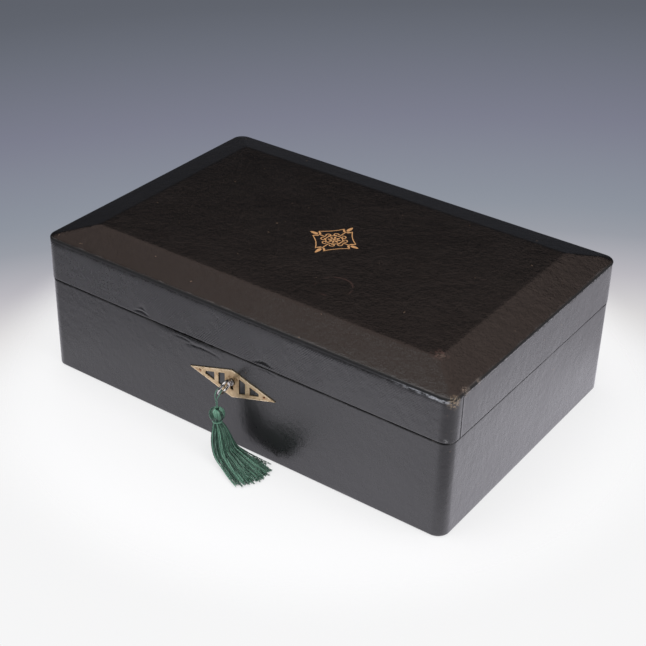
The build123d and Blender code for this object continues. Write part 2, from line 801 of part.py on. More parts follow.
# Lock: four screws in the backplate and two in the selvedge
with BuildPart() as lock_screws:
    screws(backplate_screw_places, lock_screw_length)
    screws(selvedge_screw_places, selvedge_screw_length)
    screw_slots(backplate_screw_places)
    screw_slots(selvedge_screw_places)
lock_screws.part.label = "lock_screws"
export_step(lock_screws.part, "parts/lock_screws.step")

# Lid: link plate with its two hooks
with BuildPart() as link_plate:
    block(plate_x, (selvedge_front, front_inner), (lid_rim, link_top))
    for start in hook_places:
        block((start, start + hook_shank), (hook_front, hook_back), (hook_bottom, lid_rim))
        foot_z = (hook_bottom, hook_bottom + hook_foot_height)
        block((start, start + hook_foot), (hook_front, hook_back), foot_z)
    screws(link_screw_places, plate + cut_beyond, mode=Mode.SUBTRACT)
link_plate.part.label = "link_plate"
export_step(link_plate.part, "parts/link_plate.step")

with BuildPart() as link_plate_screws:
    screws(link_screw_places, selvedge_screw_length)
    screw_slots(link_screw_places)
link_plate_screws.part.label = "link_plate_screws"
export_step(link_plate_screws.part, "parts/link_plate_screws.step")


def leaf_outline(up, outer):
    """Section of a leaf: plate, and the lip behind the barrel that stops the lid."""
    lean = radians(stop_angle / 2 + stop_clearance)
    lip = hinge_y + stop_reach
    lip_top = hinge_z - up * (hinge_leaf_gap + stop_reach * tan(lean))
    points = (
        (leaf_front, hinge_z - up * hinge_leaf_gap),
        (hinge_y, hinge_z - up * hinge_leaf_gap),
        (lip, lip_top),
        (lip, hinge_z - up * stop_drop),
        (outer, hinge_z - up * stop_drop),
        (outer, hinge_z - up * hinge_leaf),
        (leaf_front, hinge_z - up * hinge_leaf),
    )
    Polygon(*points, align=None)


def hinge_leaves(up, outer, own_knuckles, bore):
    """The two leaves that carry the knuckles with the given numbers."""
    for side in (-1, 1):
        start = side * hinge_x - hinge_length / 2
        with BuildSketch(Plane.YZ.offset(start)) as section:
            leaf_outline(up, outer)
        extrude(section.sketch, amount=hinge_length)
        for number in range(hinge_knuckles):
            near = start + number * knuckle_pitch
            own = number in own_knuckles
            radius = hinge_barrel_radius if own else hinge_barrel_radius + hinge_barrel_clearance
            with BuildSketch(Plane.YZ.offset(near)) as knuckle:
                with Locations((hinge_y, hinge_z)):
                    Circle(radius)
            extrude(knuckle.sketch, amount=knuckle_pitch, mode=Mode.ADD if own else Mode.SUBTRACT)
            if own and number > 0:
                gap = (near - hinge_knuckle_gap / 2, near + hinge_knuckle_gap / 2)
                reach = hinge_barrel_radius + hinge_barrel_clearance
                with BuildSketch(Plane.YZ.offset(gap[0])) as slit:
                    with Locations((hinge_y, hinge_z)):
                        Circle(reach)
                extrude(slit.sketch, amount=gap[1] - gap[0], mode=Mode.SUBTRACT)
        with BuildSketch(Plane.YZ.offset(start)) as hole:
            with Locations((hinge_y, hinge_z)):
                Circle(bore)
        extrude(hole.sketch, amount=hinge_length, mode=Mode.SUBTRACT)
    screws(hinge_screw_places(up), hinge_leaf + cut_beyond, mode=Mode.SUBTRACT)


# Hinges: stop butts, their pins and screws
with BuildPart() as hinge_body_leaves:
    hinge_leaves(1, depth / 2, range(0, hinge_knuckles, 2), hinge_pin_radius)
hinge_body_leaves.part.label = "hinge_body_leaves"
export_step(hinge_body_leaves.part, "parts/hinge_body_leaves.step")

with BuildPart() as hinge_lid_leaves:
    hinge_leaves(-1, lid_depth / 2, range(1, hinge_knuckles, 2), hinge_pin_radius + hinge_pin_fit)
hinge_lid_leaves.part.label = "hinge_lid_leaves"
export_step(hinge_lid_leaves.part, "parts/hinge_lid_leaves.step")

with BuildPart() as hinge_pins:
    for side in (-1, 1):
        with BuildSketch(Plane.YZ.offset(side * hinge_x - hinge_length / 2)) as pin:
            with Locations((hinge_y, hinge_z)):
                Circle(hinge_pin_radius)
        extrude(pin.sketch, amount=hinge_length)
hinge_pins.part.label = "hinge_pins"
export_step(hinge_pins.part, "parts/hinge_pins.step")

for name, up in (("hinge_body_screws", 1), ("hinge_lid_screws", -1)):
    with BuildPart() as hinge_screws:
        screws(hinge_screw_places(up), hinge_screw_length)
        screw_slots(hinge_screw_places(up))
    hinge_screws.part.label = name
    export_step(hinge_screws.part, f"parts/{name}.step")

# Key: pipe shank on the drill pin, stepped bit and collar
key_end = backplate_front - key_end_gap
with BuildPart() as key_shank:
    with BuildSketch(Plane.XZ.offset(-key_end)) as pipe:
        with Locations((0, key_height)):
            Circle(key_shank_radius)
    extrude(pipe.sketch, amount=key_end - collar_back)
    step_ends = (key_end, lever_backs[0] + layer_gap / 2, lever_backs[1] + layer_gap / 2)
    step_limits = (*step_ends, lever_stack_front - layer_gap / 2)
    for number, tip in enumerate(key_bit_radii):
        near, far = step_limits[number], step_limits[number + 1]
        bit_plane = Plane(
            origin=(0, near, key_height), x_dir=(cos(key_angle), 0, sin(key_angle)), z_dir=(0, -1, 0)
        )
        with BuildSketch(bit_plane) as bit:
            with Locations((tip / 2, 0)):
                Rectangle(tip, key_bit_thickness)
        extrude(bit.sketch, amount=near - far)
    with BuildSketch(Plane.XZ.offset(-key_end)) as bore:
        with Locations((0, key_height)):
            Circle(drill_pin_radius + key_fit)
    extrude(bore.sketch, amount=key_end - front_wood + key_end_gap, mode=Mode.SUBTRACT)
    with BuildSketch(Plane.XZ.offset(-collar_back)) as collar:
        with Locations((0, key_height)):
            Circle(key_collar_radius)
    extrude(collar.sketch, amount=key_collar_length)
    collar_edges = key_shank.edges().filter_by(GeomType.CIRCLE).group_by(SortBy.RADIUS)[-1]
    fillet(collar_edges, key_collar_round)
key_shank.part.label = "key_shank"
export_step(key_shank.part, "parts/key_shank.step")

# Key: ring bow on a short neck
with BuildPart() as key_bow:
    bow_normal = (sin(key_angle), 0, -cos(key_angle))
    with Locations(Plane(origin=(0, bow_centre_y, key_height), x_dir=(0, 1, 0), z_dir=bow_normal)):
        Torus(bow_radius, bow_wire)
    neck_end = bow_centre_y + bow_radius - bow_wire / 2
    with BuildSketch(Plane.XZ.offset(-collar_front)) as neck_root:
        with Locations((0, key_height)):
            Circle(key_neck_radius)
    with BuildSketch(Plane.XZ.offset(-neck_end)) as neck_tip:
        with Locations((0, key_height)):
            Circle(bow_wire)
    loft([neck_root.sketch.face(), neck_tip.sketch.face()])
key_bow.part.label = "key_bow"
export_step(key_bow.part, "parts/key_bow.step")

# Tassel: hanging loop, from the head up round the bow's wire and back
loop_route = [
    (-1.3, -2.2, head_flat_z - key_height),
    (-1.3, -2.2, -11.4),
    (-2.1, -3.0, -7.2),
    (-2.15, -2.6, -2.2),
    (-2.15, 1.86, 1.08),
    (2.15, 1.86, 1.08),
    (2.15, -2.6, -2.2),
    (1.6, -3.0, -7.2),
    (0.3, -2.2, -11.4),
    (0.3, -2.2, head_flat_z - key_height),
]
loop_points = [Vector(0, hang_y, key_height) + Vector(*point) for point in loop_route]
loop_radii = []
for before, point, after in zip(loop_points, loop_points[1:], loop_points[2:]):
    turn = (point - before).get_angle(after - point)
    shorter = min((point - before).length, (after - point).length)
    loop_radii.append(loop_bend * shorter / tan(radians(turn / 2)))
with BuildPart() as tassel_loop:
    with BuildLine() as loop_path:
        FilletPolyline(*loop_points, radius=loop_radii)
    loop_line = loop_path.wires()[0]
    with BuildSketch(Plane(origin=loop_line @ 0, z_dir=loop_line % 0)):
        Circle(cord_diameter / 2)
    sweep(path=loop_line)
tassel_loop.part.label = "tassel_loop"
export_step(tassel_loop.part, "parts/tassel_loop.step")
print("loop radii", [round(radius, 2) for radius in loop_radii])
print("loop length", round(loop_line.length, 2))

# Tassel: wound head, flat where the loop leaves it
binding_top = head_z - tassel_head_radius + binding_sink
with BuildPart() as tassel_head:
    with Locations((head_x, head_y, head_z)):
        Sphere(tassel_head_radius)
    block(
        (head_x - tassel_head_radius, head_x + tassel_head_radius),
        (head_y - tassel_head_radius, head_y + tassel_head_radius),
        (head_flat_z, head_z + tassel_head_radius),
        mode=Mode.SUBTRACT,
    )
    block(
        (head_x - tassel_head_radius, head_x + tassel_head_radius),
        (head_y - tassel_head_radius, head_y + tassel_head_radius),
        (head_z - tassel_head_radius, binding_top),
        mode=Mode.SUBTRACT,
    )
tassel_head.part.label = "tassel_head"
export_step(tassel_head.part, "parts/tassel_head.step")

# Tassel: binding of the neck
binding_base = binding_top - binding_height
with BuildPart() as tassel_binding:
    with BuildSketch(Plane.XY.offset(binding_base)):
        with Locations((head_x, head_y)):
            Circle(binding_radius)
    extrude(amount=binding_height)
    fillet(tassel_binding.edges().filter_by(GeomType.CIRCLE), binding_round)
tassel_binding.part.label = "tassel_binding"
export_step(tassel_binding.part, "parts/tassel_binding.step")

# Tassel: skirt, which hangs to the table and fans out on it to the right and forward.
# Each section: distance along the fan, half width, half height, lean from upright, and its
# height as a share of the neck's, or None where the skirt lies on the table
fan = radians(skirt_fan_angle)
fan_x, fan_y = cos(fan), sin(fan)
skirt_sections = [
    (0.0, 3.6, 3.6, 0.0, 1.0),
    (2.4, 6.2, 6.2, 6.0, 0.85),
    (4.2, 8.6, 8.6, 14.0, 0.62),
    (7.0, 10.4, 9.4, 32.0, 0.39),
    (11.5, 12.0, 8.4, 52.0, 0.232),
    (18.5, 14.2, 6.2, 68.0, None),
    (30.0, 17.8, 3.4, 84.0, None),
    (42.0, 20.6, 1.9, 90.0, None),
    (50.5, 12.5, 0.9, 90.0, None),
]
with BuildPart() as tassel_skirt:
    skirt_faces = []
    for along, half_across, half_tall, lean, share in skirt_sections:
        tilt = radians(lean)
        rise = half_tall * sin(tilt) if share is None else share * (binding_base - skirt_ground)
        section_plane = Plane(
            origin=(head_x + along * fan_x, head_y + along * fan_y, skirt_ground + rise),
            x_dir=(-fan_y, fan_x, 0),
            z_dir=(fan_x * sin(tilt), fan_y * sin(tilt), -cos(tilt)),
        )
        with BuildSketch(section_plane) as section:
            Ellipse(half_across, half_tall)
        skirt_faces.append(section.sketch.face())
    loft(skirt_faces, ruled=True)
tassel_skirt.part.label = "tassel_skirt"
export_step(tassel_skirt.part, "parts/tassel_skirt.step")
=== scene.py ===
"""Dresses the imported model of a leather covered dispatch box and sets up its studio.

Sizes in the classes are millimetres, as on the maker's drawing. Every finished mesh is in metres, in place.
"""

import logging
import math
import random
from dataclasses import dataclass, field
from enum import Enum
from typing import Callable, Iterable, Sequence

import bmesh
import bpy
from mathutils import Matrix, Vector, noise


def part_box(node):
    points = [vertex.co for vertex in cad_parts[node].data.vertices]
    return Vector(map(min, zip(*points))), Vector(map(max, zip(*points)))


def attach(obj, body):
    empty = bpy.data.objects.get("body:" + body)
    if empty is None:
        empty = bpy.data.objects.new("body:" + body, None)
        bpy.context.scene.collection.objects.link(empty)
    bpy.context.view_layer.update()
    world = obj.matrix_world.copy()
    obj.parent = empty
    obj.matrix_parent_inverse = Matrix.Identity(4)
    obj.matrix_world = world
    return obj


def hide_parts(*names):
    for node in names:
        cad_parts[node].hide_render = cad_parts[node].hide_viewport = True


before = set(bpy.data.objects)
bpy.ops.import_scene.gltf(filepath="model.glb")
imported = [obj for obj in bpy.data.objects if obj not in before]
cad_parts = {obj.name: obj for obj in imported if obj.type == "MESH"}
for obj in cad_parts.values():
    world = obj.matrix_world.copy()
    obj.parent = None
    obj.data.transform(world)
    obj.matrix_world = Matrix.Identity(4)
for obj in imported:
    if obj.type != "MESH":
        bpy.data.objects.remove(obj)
log = logging.getLogger("dispatch_box")

MM = 0.001
# A surface faces a way where its outward direction has more than this share of it.
FACING = 0.9
Colour = tuple[float, float, float]
Form = bmesh.types.BMesh
Piece = bpy.types.Object
Rows = list[tuple[float, float]]
Stretch = tuple[float, Vector, Vector, Vector]
Station = tuple[Vector, Vector]
Relief = Callable[[Vector, Vector, int], Vector]


# Shader building

class Wire:
    """A shader value whose operators add Math nodes."""

    def __init__(self, kit: "NodeKit", socket: bpy.types.NodeSocket) -> None:
        """Wraps an output socket of one material's tree."""
        self.kit = kit
        self.socket = socket

    def math(self, operation: str, *others: "Wire | float") -> "Wire":
        """Adds a Math node.

        Args:
            operation: The Math node's operation.
            others: The further values.

        Returns:
            The node's value.
        """
        return self.kit.node("ShaderNodeMath", {"operation": operation}, dict(enumerate((self, *others))))[0]

    def __add__(self, other: "Wire | float") -> "Wire":
        """Adds."""
        return self.math("ADD", other)

    def __sub__(self, other: "Wire | float") -> "Wire":
        """Subtracts."""
        return self.math("SUBTRACT", other)

    def __rsub__(self, other: float) -> "Wire":
        """Subtracts from a number."""
        return self.math("MULTIPLY", -1.0) + other

    def __mul__(self, other: "Wire | float") -> "Wire":
        """Multiplies."""
        return self.math("MULTIPLY", other)

    def __pow__(self, other: float) -> "Wire":
        """Raises to a power."""
        return self.math("POWER", other)

    __radd__, __rmul__ = __add__, __mul__

    def size(self) -> "Wire":
        """The value without its sign."""
        return self.math("ABSOLUTE")

    def least(self, other: "Wire | float") -> "Wire":
        """The smaller of two values."""
        return self.math("MINIMUM", other)

    def most(self, other: "Wire | float") -> "Wire":
        """The larger of two values."""
        return self.math("MAXIMUM", other)

    def step(self, low: float, high: float) -> "Wire":
        """Rises smoothly from 0 to 1 between two values.

        Args:
            low: Where the rise starts. It may be above high, which turns the rise over.
            high: Where it ends.

        Returns:
            The value after the rise.
        """
        ends = {"From Min": min(low, high), "From Max": max(low, high), "Value": self}
        rise = self.kit.node("ShaderNodeMapRange", {"interpolation_type": "SMOOTHSTEP"}, ends)[0]
        return 1.0 - rise if low > high else rise


class NodeKit:
    """Adds nodes to one node tree."""

    def __init__(self, tree: bpy.types.NodeTree) -> None:
        """Starts on an empty tree."""
        self.tree = tree
        tree.nodes.clear()

    def node(self, kind: str, settings: dict | None = None, inputs: dict | None = None) -> list[Wire]:
        """Adds one node.

        Args:
            kind: The node's type.
            settings: Its settings, set first. "stops" is a ramp's list of places and colours.
            inputs: Values or wires by the input's name or number.

        Returns:
            Its outputs, in order.
        """
        node = self.tree.nodes.new(kind)
        for name, value in (settings or {}).items():
            if name == "stops":
                self._set_stops(node.color_ramp, value)
            else:
                setattr(node, name, value)
        for name, value in (inputs or {}).items():
            if isinstance(value, Wire):
                self.tree.links.new(value.socket, node.inputs[name])
            else:
                node.inputs[name].default_value = value
        return [Wire(self, socket) for socket in node.outputs if socket.enabled]

    @staticmethod
    def _set_stops(ramp: bpy.types.ColorRamp, stops: Sequence[tuple[float, Colour]]) -> None:
        """Gives a ramp its places and colours."""
        while len(ramp.elements) > 1:
            ramp.elements.remove(ramp.elements[-1])
        ramp.elements[0].position = stops[0][0]
        ramp.elements[0].color = (*stops[0][1], 1.0)
        for position, colour in stops[1:]:
            ramp.elements.new(position).color = (*colour, 1.0)

    def position(self, scale: Sequence[float] = (1, 1, 1), turn: Sequence[float] = (0, 0, 0)) -> Wire:
        """The place on the piece in metres, stretched and turned.

        Args:
            scale: The factor on each axis.
            turn: The angle about each axis, in degrees.

        Returns:
            The place.
        """
        place = self.node("ShaderNodeTexCoord")[3]
        if tuple(scale) == (1, 1, 1) and tuple(turn) == (0, 0, 0):
            return place
        turned = {"Vector": place, "Rotation": tuple(math.radians(angle) for angle in turn)}
        place = self.node("ShaderNodeMapping", {"vector_type": "POINT"}, turned)[0]
        return self.node("ShaderNodeVectorMath", {"operation": "MULTIPLY"}, {0: place, 1: tuple(scale)})[0]

    def axes(self) -> list[Wire]:
        """The three coordinates of the place on the piece."""
        return self.node("ShaderNodeSeparateXYZ", inputs={0: self.position()})

    def noise(self, scale: float, detail: float = 2.0, rough: float = 0.5, stretch: Sequence[float] = (1, 1, 1),
              turn: Sequence[float] = (0, 0, 0), warp: float = 0.0) -> Wire:
        """Cloudy noise between 0 and 1.

        Args:
            scale: Clouds in a metre.
            detail: Finer layers.
            rough: How strong the finer layers are.
            stretch: The factor on the place, on each axis.
            turn: The angle about each axis, in degrees.
            warp: How far it is stirred.

        Returns:
            The value.
        """
        place = self.position(stretch, turn)
        values = {"Vector": place, "Scale": scale, "Detail": detail, "Roughness": rough, "Distortion": warp}
        return self.node("ShaderNodeTexNoise", inputs=values)[0]

    def cells(self, scale: float) -> Wire:
        """Distance from the middles of cells, so many in a metre, for pores."""
        return self.node("ShaderNodeTexVoronoi", inputs={"Vector": self.position(), "Scale": scale})[0]

    def mix(self, share: "Wire | float", first: "Wire | Colour", second: "Wire | Colour") -> Wire:
        """Blends two colours.

        Args:
            share: How much of the second shows.
            first: The colour where the share is 0.
            second: The colour where the share is 1.

        Returns:
            The blended colour.
        """
        ends = [value if isinstance(value, Wire) else (*value, 1.0) for value in (first, second)]
        values = {0: share, 6: ends[0], 7: ends[1]}
        return self.node("ShaderNodeMix", {"data_type": "RGBA"}, values)[0]

    def bump(self, height: Wire, depth: float, strength: float = 1.0, below: Wire | None = None) -> Wire:
        """Turns a height between 0 and 1 into a normal.

        Args:
            height: The height.
            depth: The real depth of a height of 1, in metres.
            strength: How much of it shows.
            below: A normal that this one is laid over.

        Returns:
            The normal.
        """
        values = {"Height": height, "Distance": depth, "Strength": strength}
        if below is not None:
            values["Normal"] = below
        return self.node("ShaderNodeBump", inputs=values)[0]


class Finish:
    """A surface finish. Each kind builds its shader once."""

    name: str

    def shade(self, kit: NodeKit) -> dict:
        """The values and wires of the main shader's sockets, by name."""
        raise NotImplementedError

    def material(self) -> bpy.types.Material:
        """Returns the finish's material, made at the first call."""
        full_name = f"{self.name}_finish"
        known = bpy.data.materials.get(full_name)
        if known:
            return known
        made = bpy.data.materials.new(full_name)
        made.use_nodes = True
        kit = NodeKit(made.node_tree)
        shader = kit.node("ShaderNodeBsdfPrincipled", inputs=self.shade(kit))[0]
        kit.node("ShaderNodeOutputMaterial", inputs={"Surface": shader})
        return made

    def dress(self, piece: Piece) -> None:
        """Puts the finish on a piece, in place of what it had."""
        if not piece.data.materials:
            piece.data.materials.append(None)
        for slot in piece.material_slots:
            slot.material = self.material()


class Grain(Enum):
    """The ways that the box's leather is grained."""

    PLAIN = "plain"
    STRAIGHT = "straight"
    DULL = "dull"


@dataclass(frozen=True)
class Mark:
    """A scuff, spot or dent on the leather, or a painted highlight such as the faint ring on the lid's top.

    Attributes:
        middle: Its place, in metres.
        reach: How far it spreads.
        colour: Its colour.
        share: How much of it shows.
        broken: Clouds in a metre of the noise that breaks it up, or 0 for a whole one.
        bare: How far its middle stays unmarked, for a ring.
    """

    middle: tuple[float, float, float]
    reach: float
    colour: Colour
    share: float = 1.0
    broken: float = 620.0
    bare: float = 0.0

    def laid(self, kit: NodeKit, base: Wire) -> Wire:
        """The leather's colour with the mark on it."""
        away = [axis - middle for axis, middle in zip(kit.axes(), self.middle)]
        far = (away[0] * away[0] + away[1] * away[1] + away[2] * away[2]).math("SQRT")
        shown = far.step(self.reach, self.bare + (self.reach - self.bare) * 0.4) * self.share
        if self.bare:
            shown = shown * far.step(self.bare * 0.94, self.bare)
        if self.broken:
            shown = shown * kit.noise(self.broken, 3.0, 0.6).step(0.44, 0.58)
        return kit.mix(shown, base, self.colour)


@dataclass(frozen=True)
class BlackLeather(Finish):
    """Black leather, waxed, with rubbed edges, a band of painted shade under the lid's bevels and a pale band
    of wear and painted highlight along the lid's front.

    Attributes:
        name: The material's name.
        grain: How it is grained.
        colour: Its base colour.
        roughness: Its roughness where it isn't rubbed.
        edges: The heights of its rubbed edges, in metres.
        reach: How far from an edge the rubbing spreads.
        marks: The scuffs and spots on it.
        half_x: Half the box's width.
        half_y: Half its depth.
        corner_near: Width plus depth where the rubbing of the corners starts.
        corner_full: The same where it is full.
        pale_band_height: The height of the pale band of wear and painted highlight along the lid's front.
        shadow_band_low: The foot of the band of painted shade under the bevels.
        shadow_band_high: Its top.
        rubbed: The colour of rubbed leather.
        chipped: The colour under the black.
        wear_and_highlight_colour: The colour of the pale band: worn leather with a painted highlight.
        dark: The colour of the band of painted shade under the bevels.
        rib: The colour of the ribs of the straight grain.
    """

    name: str
    grain: Grain
    colour: Colour = (0.0090, 0.0087, 0.0096)
    roughness: float = 0.28
    edges: tuple[float, ...] = (0.0006, 0.0882)
    reach: float = 0.0022
    marks: tuple[Mark, ...] = ()
    half_x: float = 0.203
    half_y: float = 0.1335
    corner_near: float = 0.3265
    corner_full: float = 0.3335
    pale_band_height: float = 0.1256
    shadow_band_low: float = 0.1270
    shadow_band_high: float = 0.1290
    rubbed: Colour = (0.050, 0.047, 0.049)
    chipped: Colour = (0.20, 0.13, 0.085)
    wear_and_highlight_colour: Colour = (0.62, 0.64, 0.70)
    dark: Colour = (0.004, 0.004, 0.0045)
    rib: Colour = (0.021, 0.020, 0.022)

    def _fine_height(self, kit: NodeKit) -> Wire:
        """The height of the grain itself."""
        pores = kit.cells(1150.0)
        pebbles = kit.noise(420.0, 3.0, 0.62, (1.0, 1.0, 0.6))
        if self.grain is Grain.PLAIN:
            return pores * 0.35 + pebbles * 1.15
        if self.grain is Grain.DULL:
            streaks = kit.noise(620.0, 3.0, 0.6, (1.0, 0.3, 1.0), (0, 0, 12))
            return pores * 0.4 + pebbles * 0.8 + streaks * 0.4
        return self._ribs(kit) * 0.9 + pores * 0.2 + pebbles * 0.9

    @staticmethod
    def _ribs(kit: NodeKit) -> Wire:
        """The slanting ribs of the straight grain, from 0 to 1."""
        x, y, z = kit.axes()
        stirred = kit.noise(60.0, 2.0, 0.5) * 7.0
        ribs = ((z - (x + y) * 1.1) * 2550.0 + stirred).math("SINE") * 0.5 + 0.5
        strong = kit.noise(40.0, 2.0, 0.5).step(0.30, 0.52) * x.step(0.15, 0.02)
        return ribs * (strong * 0.75 + 0.25)

    def _corners(self, kit: NodeKit) -> Wire:
        """How near a place is to one of the upright corners, from 0 to 1."""
        x, y, _ = kit.axes()
        return (x.size() + y.size()).step(self.corner_near, self.corner_full) * self._outside(kit)

    def _outside(self, kit: NodeKit) -> Wire:
        """How near a place is to the outside of the box, from 0 to 1."""
        x, y, _ = kit.axes()
        return (x.size() - self.half_x).most(y.size() - self.half_y).step(-0.0030, -0.0012)

    def _edge(self, kit: NodeKit) -> Wire:
        """How near a place is to a rubbed edge, from 0 to 1."""
        _, _, z = kit.axes()
        first, *others = [(z - height).size().step(self.reach, 0.0002) for height in self.edges]
        return sum(others, first) * self._outside(kit)

    def _wear_and_highlight_band(self, kit: NodeKit) -> Wire:
        """The pale, broken band along the top of the lid's front, which grows towards the right corner: wear
        with a painted highlight of the edge.
        """
        x, y, z = kit.axes()
        band = (z - self.pale_band_height).size().step(0.0019, 0.0007) * x.step(0.135, 0.195)
        band = band * y.step(-0.131, -0.1325)
        patchy = kit.noise(380.0, 3.0, 0.65, (0.5, 1.0, 1.0)).step(0.36, 0.58)
        return band * patchy * (kit.noise(1300.0, 2.0, 0.6).step(0.40, 0.60) * 0.75 + 0.25)

    def _painted_shadow_band(self, kit: NodeKit) -> Wire:
        """The dull, dark, ragged band of painted shade round the lid under its bevels, from 0 to 1."""
        x, _, z = kit.axes()
        ragged = kit.noise(420.0, 2.0, 0.6, (1.0, 1.0, 0.25), (0, -40, 0)) * 0.0060
        low = z + ragged - x.step(0.2000, 0.2020) * 0.0024
        above = low.step(self.shadow_band_low, self.shadow_band_low + 0.0008)
        return above * z.step(self.shadow_band_high, self.shadow_band_high - 0.0006) * self._outside(kit)

    def shade(self, kit: NodeKit) -> dict:
        """The sockets of the leather."""
        patches = kit.noise(26.0, 3.0, 0.55)
        specks = kit.noise(420.0, 2.0, 0.6)
        scuffs = kit.noise(240.0, 3.0, 0.6, (0.35, 0.35, 1.6))
        corner = self._corners(kit)
        edge = (self._edge(kit) + corner * 0.7).least(1.0)
        rubbed = edge * scuffs.step(0.45, 0.66)
        chipped = edge * specks.step(0.60, 0.68) * scuffs.step(0.52, 0.66) * (corner * 0.8 + 0.2)
        flecks = kit.noise(240.0, 1.0, 0.4).step(0.785, 0.80)
        base = kit.mix(patches.step(0.35, 0.7), self.colour, tuple(part * 1.4 for part in self.colour))
        base = kit.mix(rubbed * 0.7, base, self.rubbed)
        base = kit.mix((chipped + flecks * 0.3).least(1.0), base, self.chipped)
        shadow_band = 0.0
        if self.grain is not Grain.PLAIN:
            # Painted shade: a near-black ragged band under the lid's bevels stands in for the shadow and dark
            # reflection along the edge.
            shadow_band = self._painted_shadow_band(kit)
            base = kit.mix(shadow_band, base, self.dark)
            # Partly painted highlight: the pale band along the lid's front is wear plus the edge's bright
            # highlight painted into the colour.
            base = kit.mix(self._wear_and_highlight_band(kit), base, self.wear_and_highlight_colour)
        if self.grain is Grain.STRAIGHT:
            base = kit.mix(self._ribs(kit) * 0.8, base, self.rib)
        for mark in self.marks:
            base = mark.laid(kit, base)
        waves = kit.bump(kit.noise(38.0, 2.0, 0.5), 0.0005, 0.5)
        puckers = kit.bump(kit.noise(150.0, 2.0, 0.5), 0.00028, 0.6, waves)
        depth = {Grain.STRAIGHT: 0.00014, Grain.DULL: 0.00024, Grain.PLAIN: 0.00013}[self.grain]
        fine = kit.bump(self._fine_height(kit), depth, 0.85, puckers)
        rough = (patches - 0.5) * 0.10 + rubbed * 0.16 + (specks - 0.5) * 0.08 + shadow_band * 0.45 + self.roughness
        return {"Base Color": base, "Roughness": rough, "Normal": fine, "IOR": 1.5, "Specular IOR Level": 0.5}


@dataclass(frozen=True)
class WornBrass(Finish):
    """Pale sheet brass, rubbed bright with a painted highlight round its rim, spotted and browned near the
    keyhole.

    Attributes:
        name: The material's name.
        key_x: The keyhole's place across, in metres.
        key_z: The keyhole's height.
        middle_z: The height of the plate's middle.
        half_x: Half the plate's width.
        half_z: Half its height.
        dull: The darker metal.
        clean: The lighter metal.
        rubbed: The metal of the rim, rubbed bright and carrying a painted highlight of its edge.
        browned: The stain.
    """

    name: str = "worn_brass"
    key_x: float = 0.0
    key_z: float = 0.0626
    middle_z: float = 0.0608
    half_x: float = 0.044
    half_z: float = 0.01325
    dull: Colour = (0.37, 0.26, 0.145)
    clean: Colour = (0.62, 0.50, 0.32)
    rubbed: Colour = (0.86, 0.73, 0.53)
    browned: Colour = (0.23, 0.125, 0.045)

    def shade(self, kit: NodeKit) -> dict:
        """The sockets of the brass."""
        x, _, z = kit.axes()
        clouds = kit.noise(210.0, 4.0, 0.6)
        spots = kit.noise(900.0, 2.0, 0.5).step(0.60, 0.68)
        brushed = kit.noise(700.0, 3.0, 0.6, (6.0, 1.0, 0.35), (0, 12, 0))
        near = ((x - self.key_x) ** 2.0 + (z - self.key_z) ** 2.0).math("SQRT").step(0.0125, 0.0035)
        brown = clouds.step(0.50, 0.72) * 0.55 + near * clouds.step(0.34, 0.6) * 0.75 + spots * 0.35
        brown = brown.least(1.0)
        base = kit.mix(clouds.step(0.3, 0.7), self.dull, self.clean)
        inside = 1.0 - (x.size() * (1 / self.half_x) + (z - self.middle_z).size() * (1 / self.half_z))
        # Partly painted highlight: the outer rim of the plate is painted lighter, for rubbed metal and for the
        # light that its edge catches.
        rim = inside.step(0.085, 0.02) * clouds.step(0.62, 0.45)
        base = kit.mix(rim * 0.8, base, self.rubbed)
        base = kit.mix(brown * (1.0 - rim * 0.6), base, self.browned)
        rough = brown * 0.22 + brushed * 0.14 + 0.34
        height = kit.bump(brushed, 0.00004, 0.35, kit.bump(clouds, 0.00003, 0.4))
        return {"Base Color": base, "Metallic": 1.0 - brown * 0.45, "Roughness": rough, "Normal": height}


@dataclass(frozen=True)
class WorkedMetal(Finish):
    """Plain worked metal with fine tool marks.

    Attributes:
        name: The material's name.
        colour: The clean metal.
        stain: Its tarnish.
        roughness: Its roughness where clean.
        marks: Tool marks in a metre.
        stained: How much tarnish shows, from 0 to 1.
    """

    name: str
    colour: Colour
    stain: Colour
    roughness: float = 0.3
    marks: float = 1400.0
    stained: float = 0.5

    def shade(self, kit: NodeKit) -> dict:
        """The sockets of the metal."""
        clouds = kit.noise(320.0, 3.0, 0.6)
        lines = kit.noise(self.marks, 3.0, 0.6, (0.12, 1.0, 1.0), (0, 8, 14))
        dull = clouds.step(0.42, 0.75) * self.stained
        base = kit.mix(dull, self.colour, self.stain)
        rough = dull * 0.25 + lines * 0.12 + self.roughness
        return {"Base Color": base, "Metallic": 1.0, "Roughness": rough,
                "Normal": kit.bump(lines, 0.00003, 0.3)}


@dataclass(frozen=True)
class Pine(Finish):
    """Planed deal, unvarnished."""

    name: str = "pine"

    def shade(self, kit: NodeKit) -> dict:
        """The sockets of the wood."""
        rings = kit.noise(240.0, 3.0, 0.5, (0.06, 1.0, 1.0), warp=0.4)
        fibres = kit.noise(2600.0, 2.0, 0.6, (0.03, 1.0, 1.0))
        base = kit.mix(rings.step(0.42, 0.62), (0.60, 0.42, 0.24), (0.44, 0.27, 0.13))
        base = kit.mix(fibres * 0.35, base, (0.70, 0.53, 0.34))
        return {"Base Color": base, "Roughness": 0.52 + fibres * 0.2,
                "Normal": kit.bump(fibres + rings * 0.4, 0.00008, 0.5)}


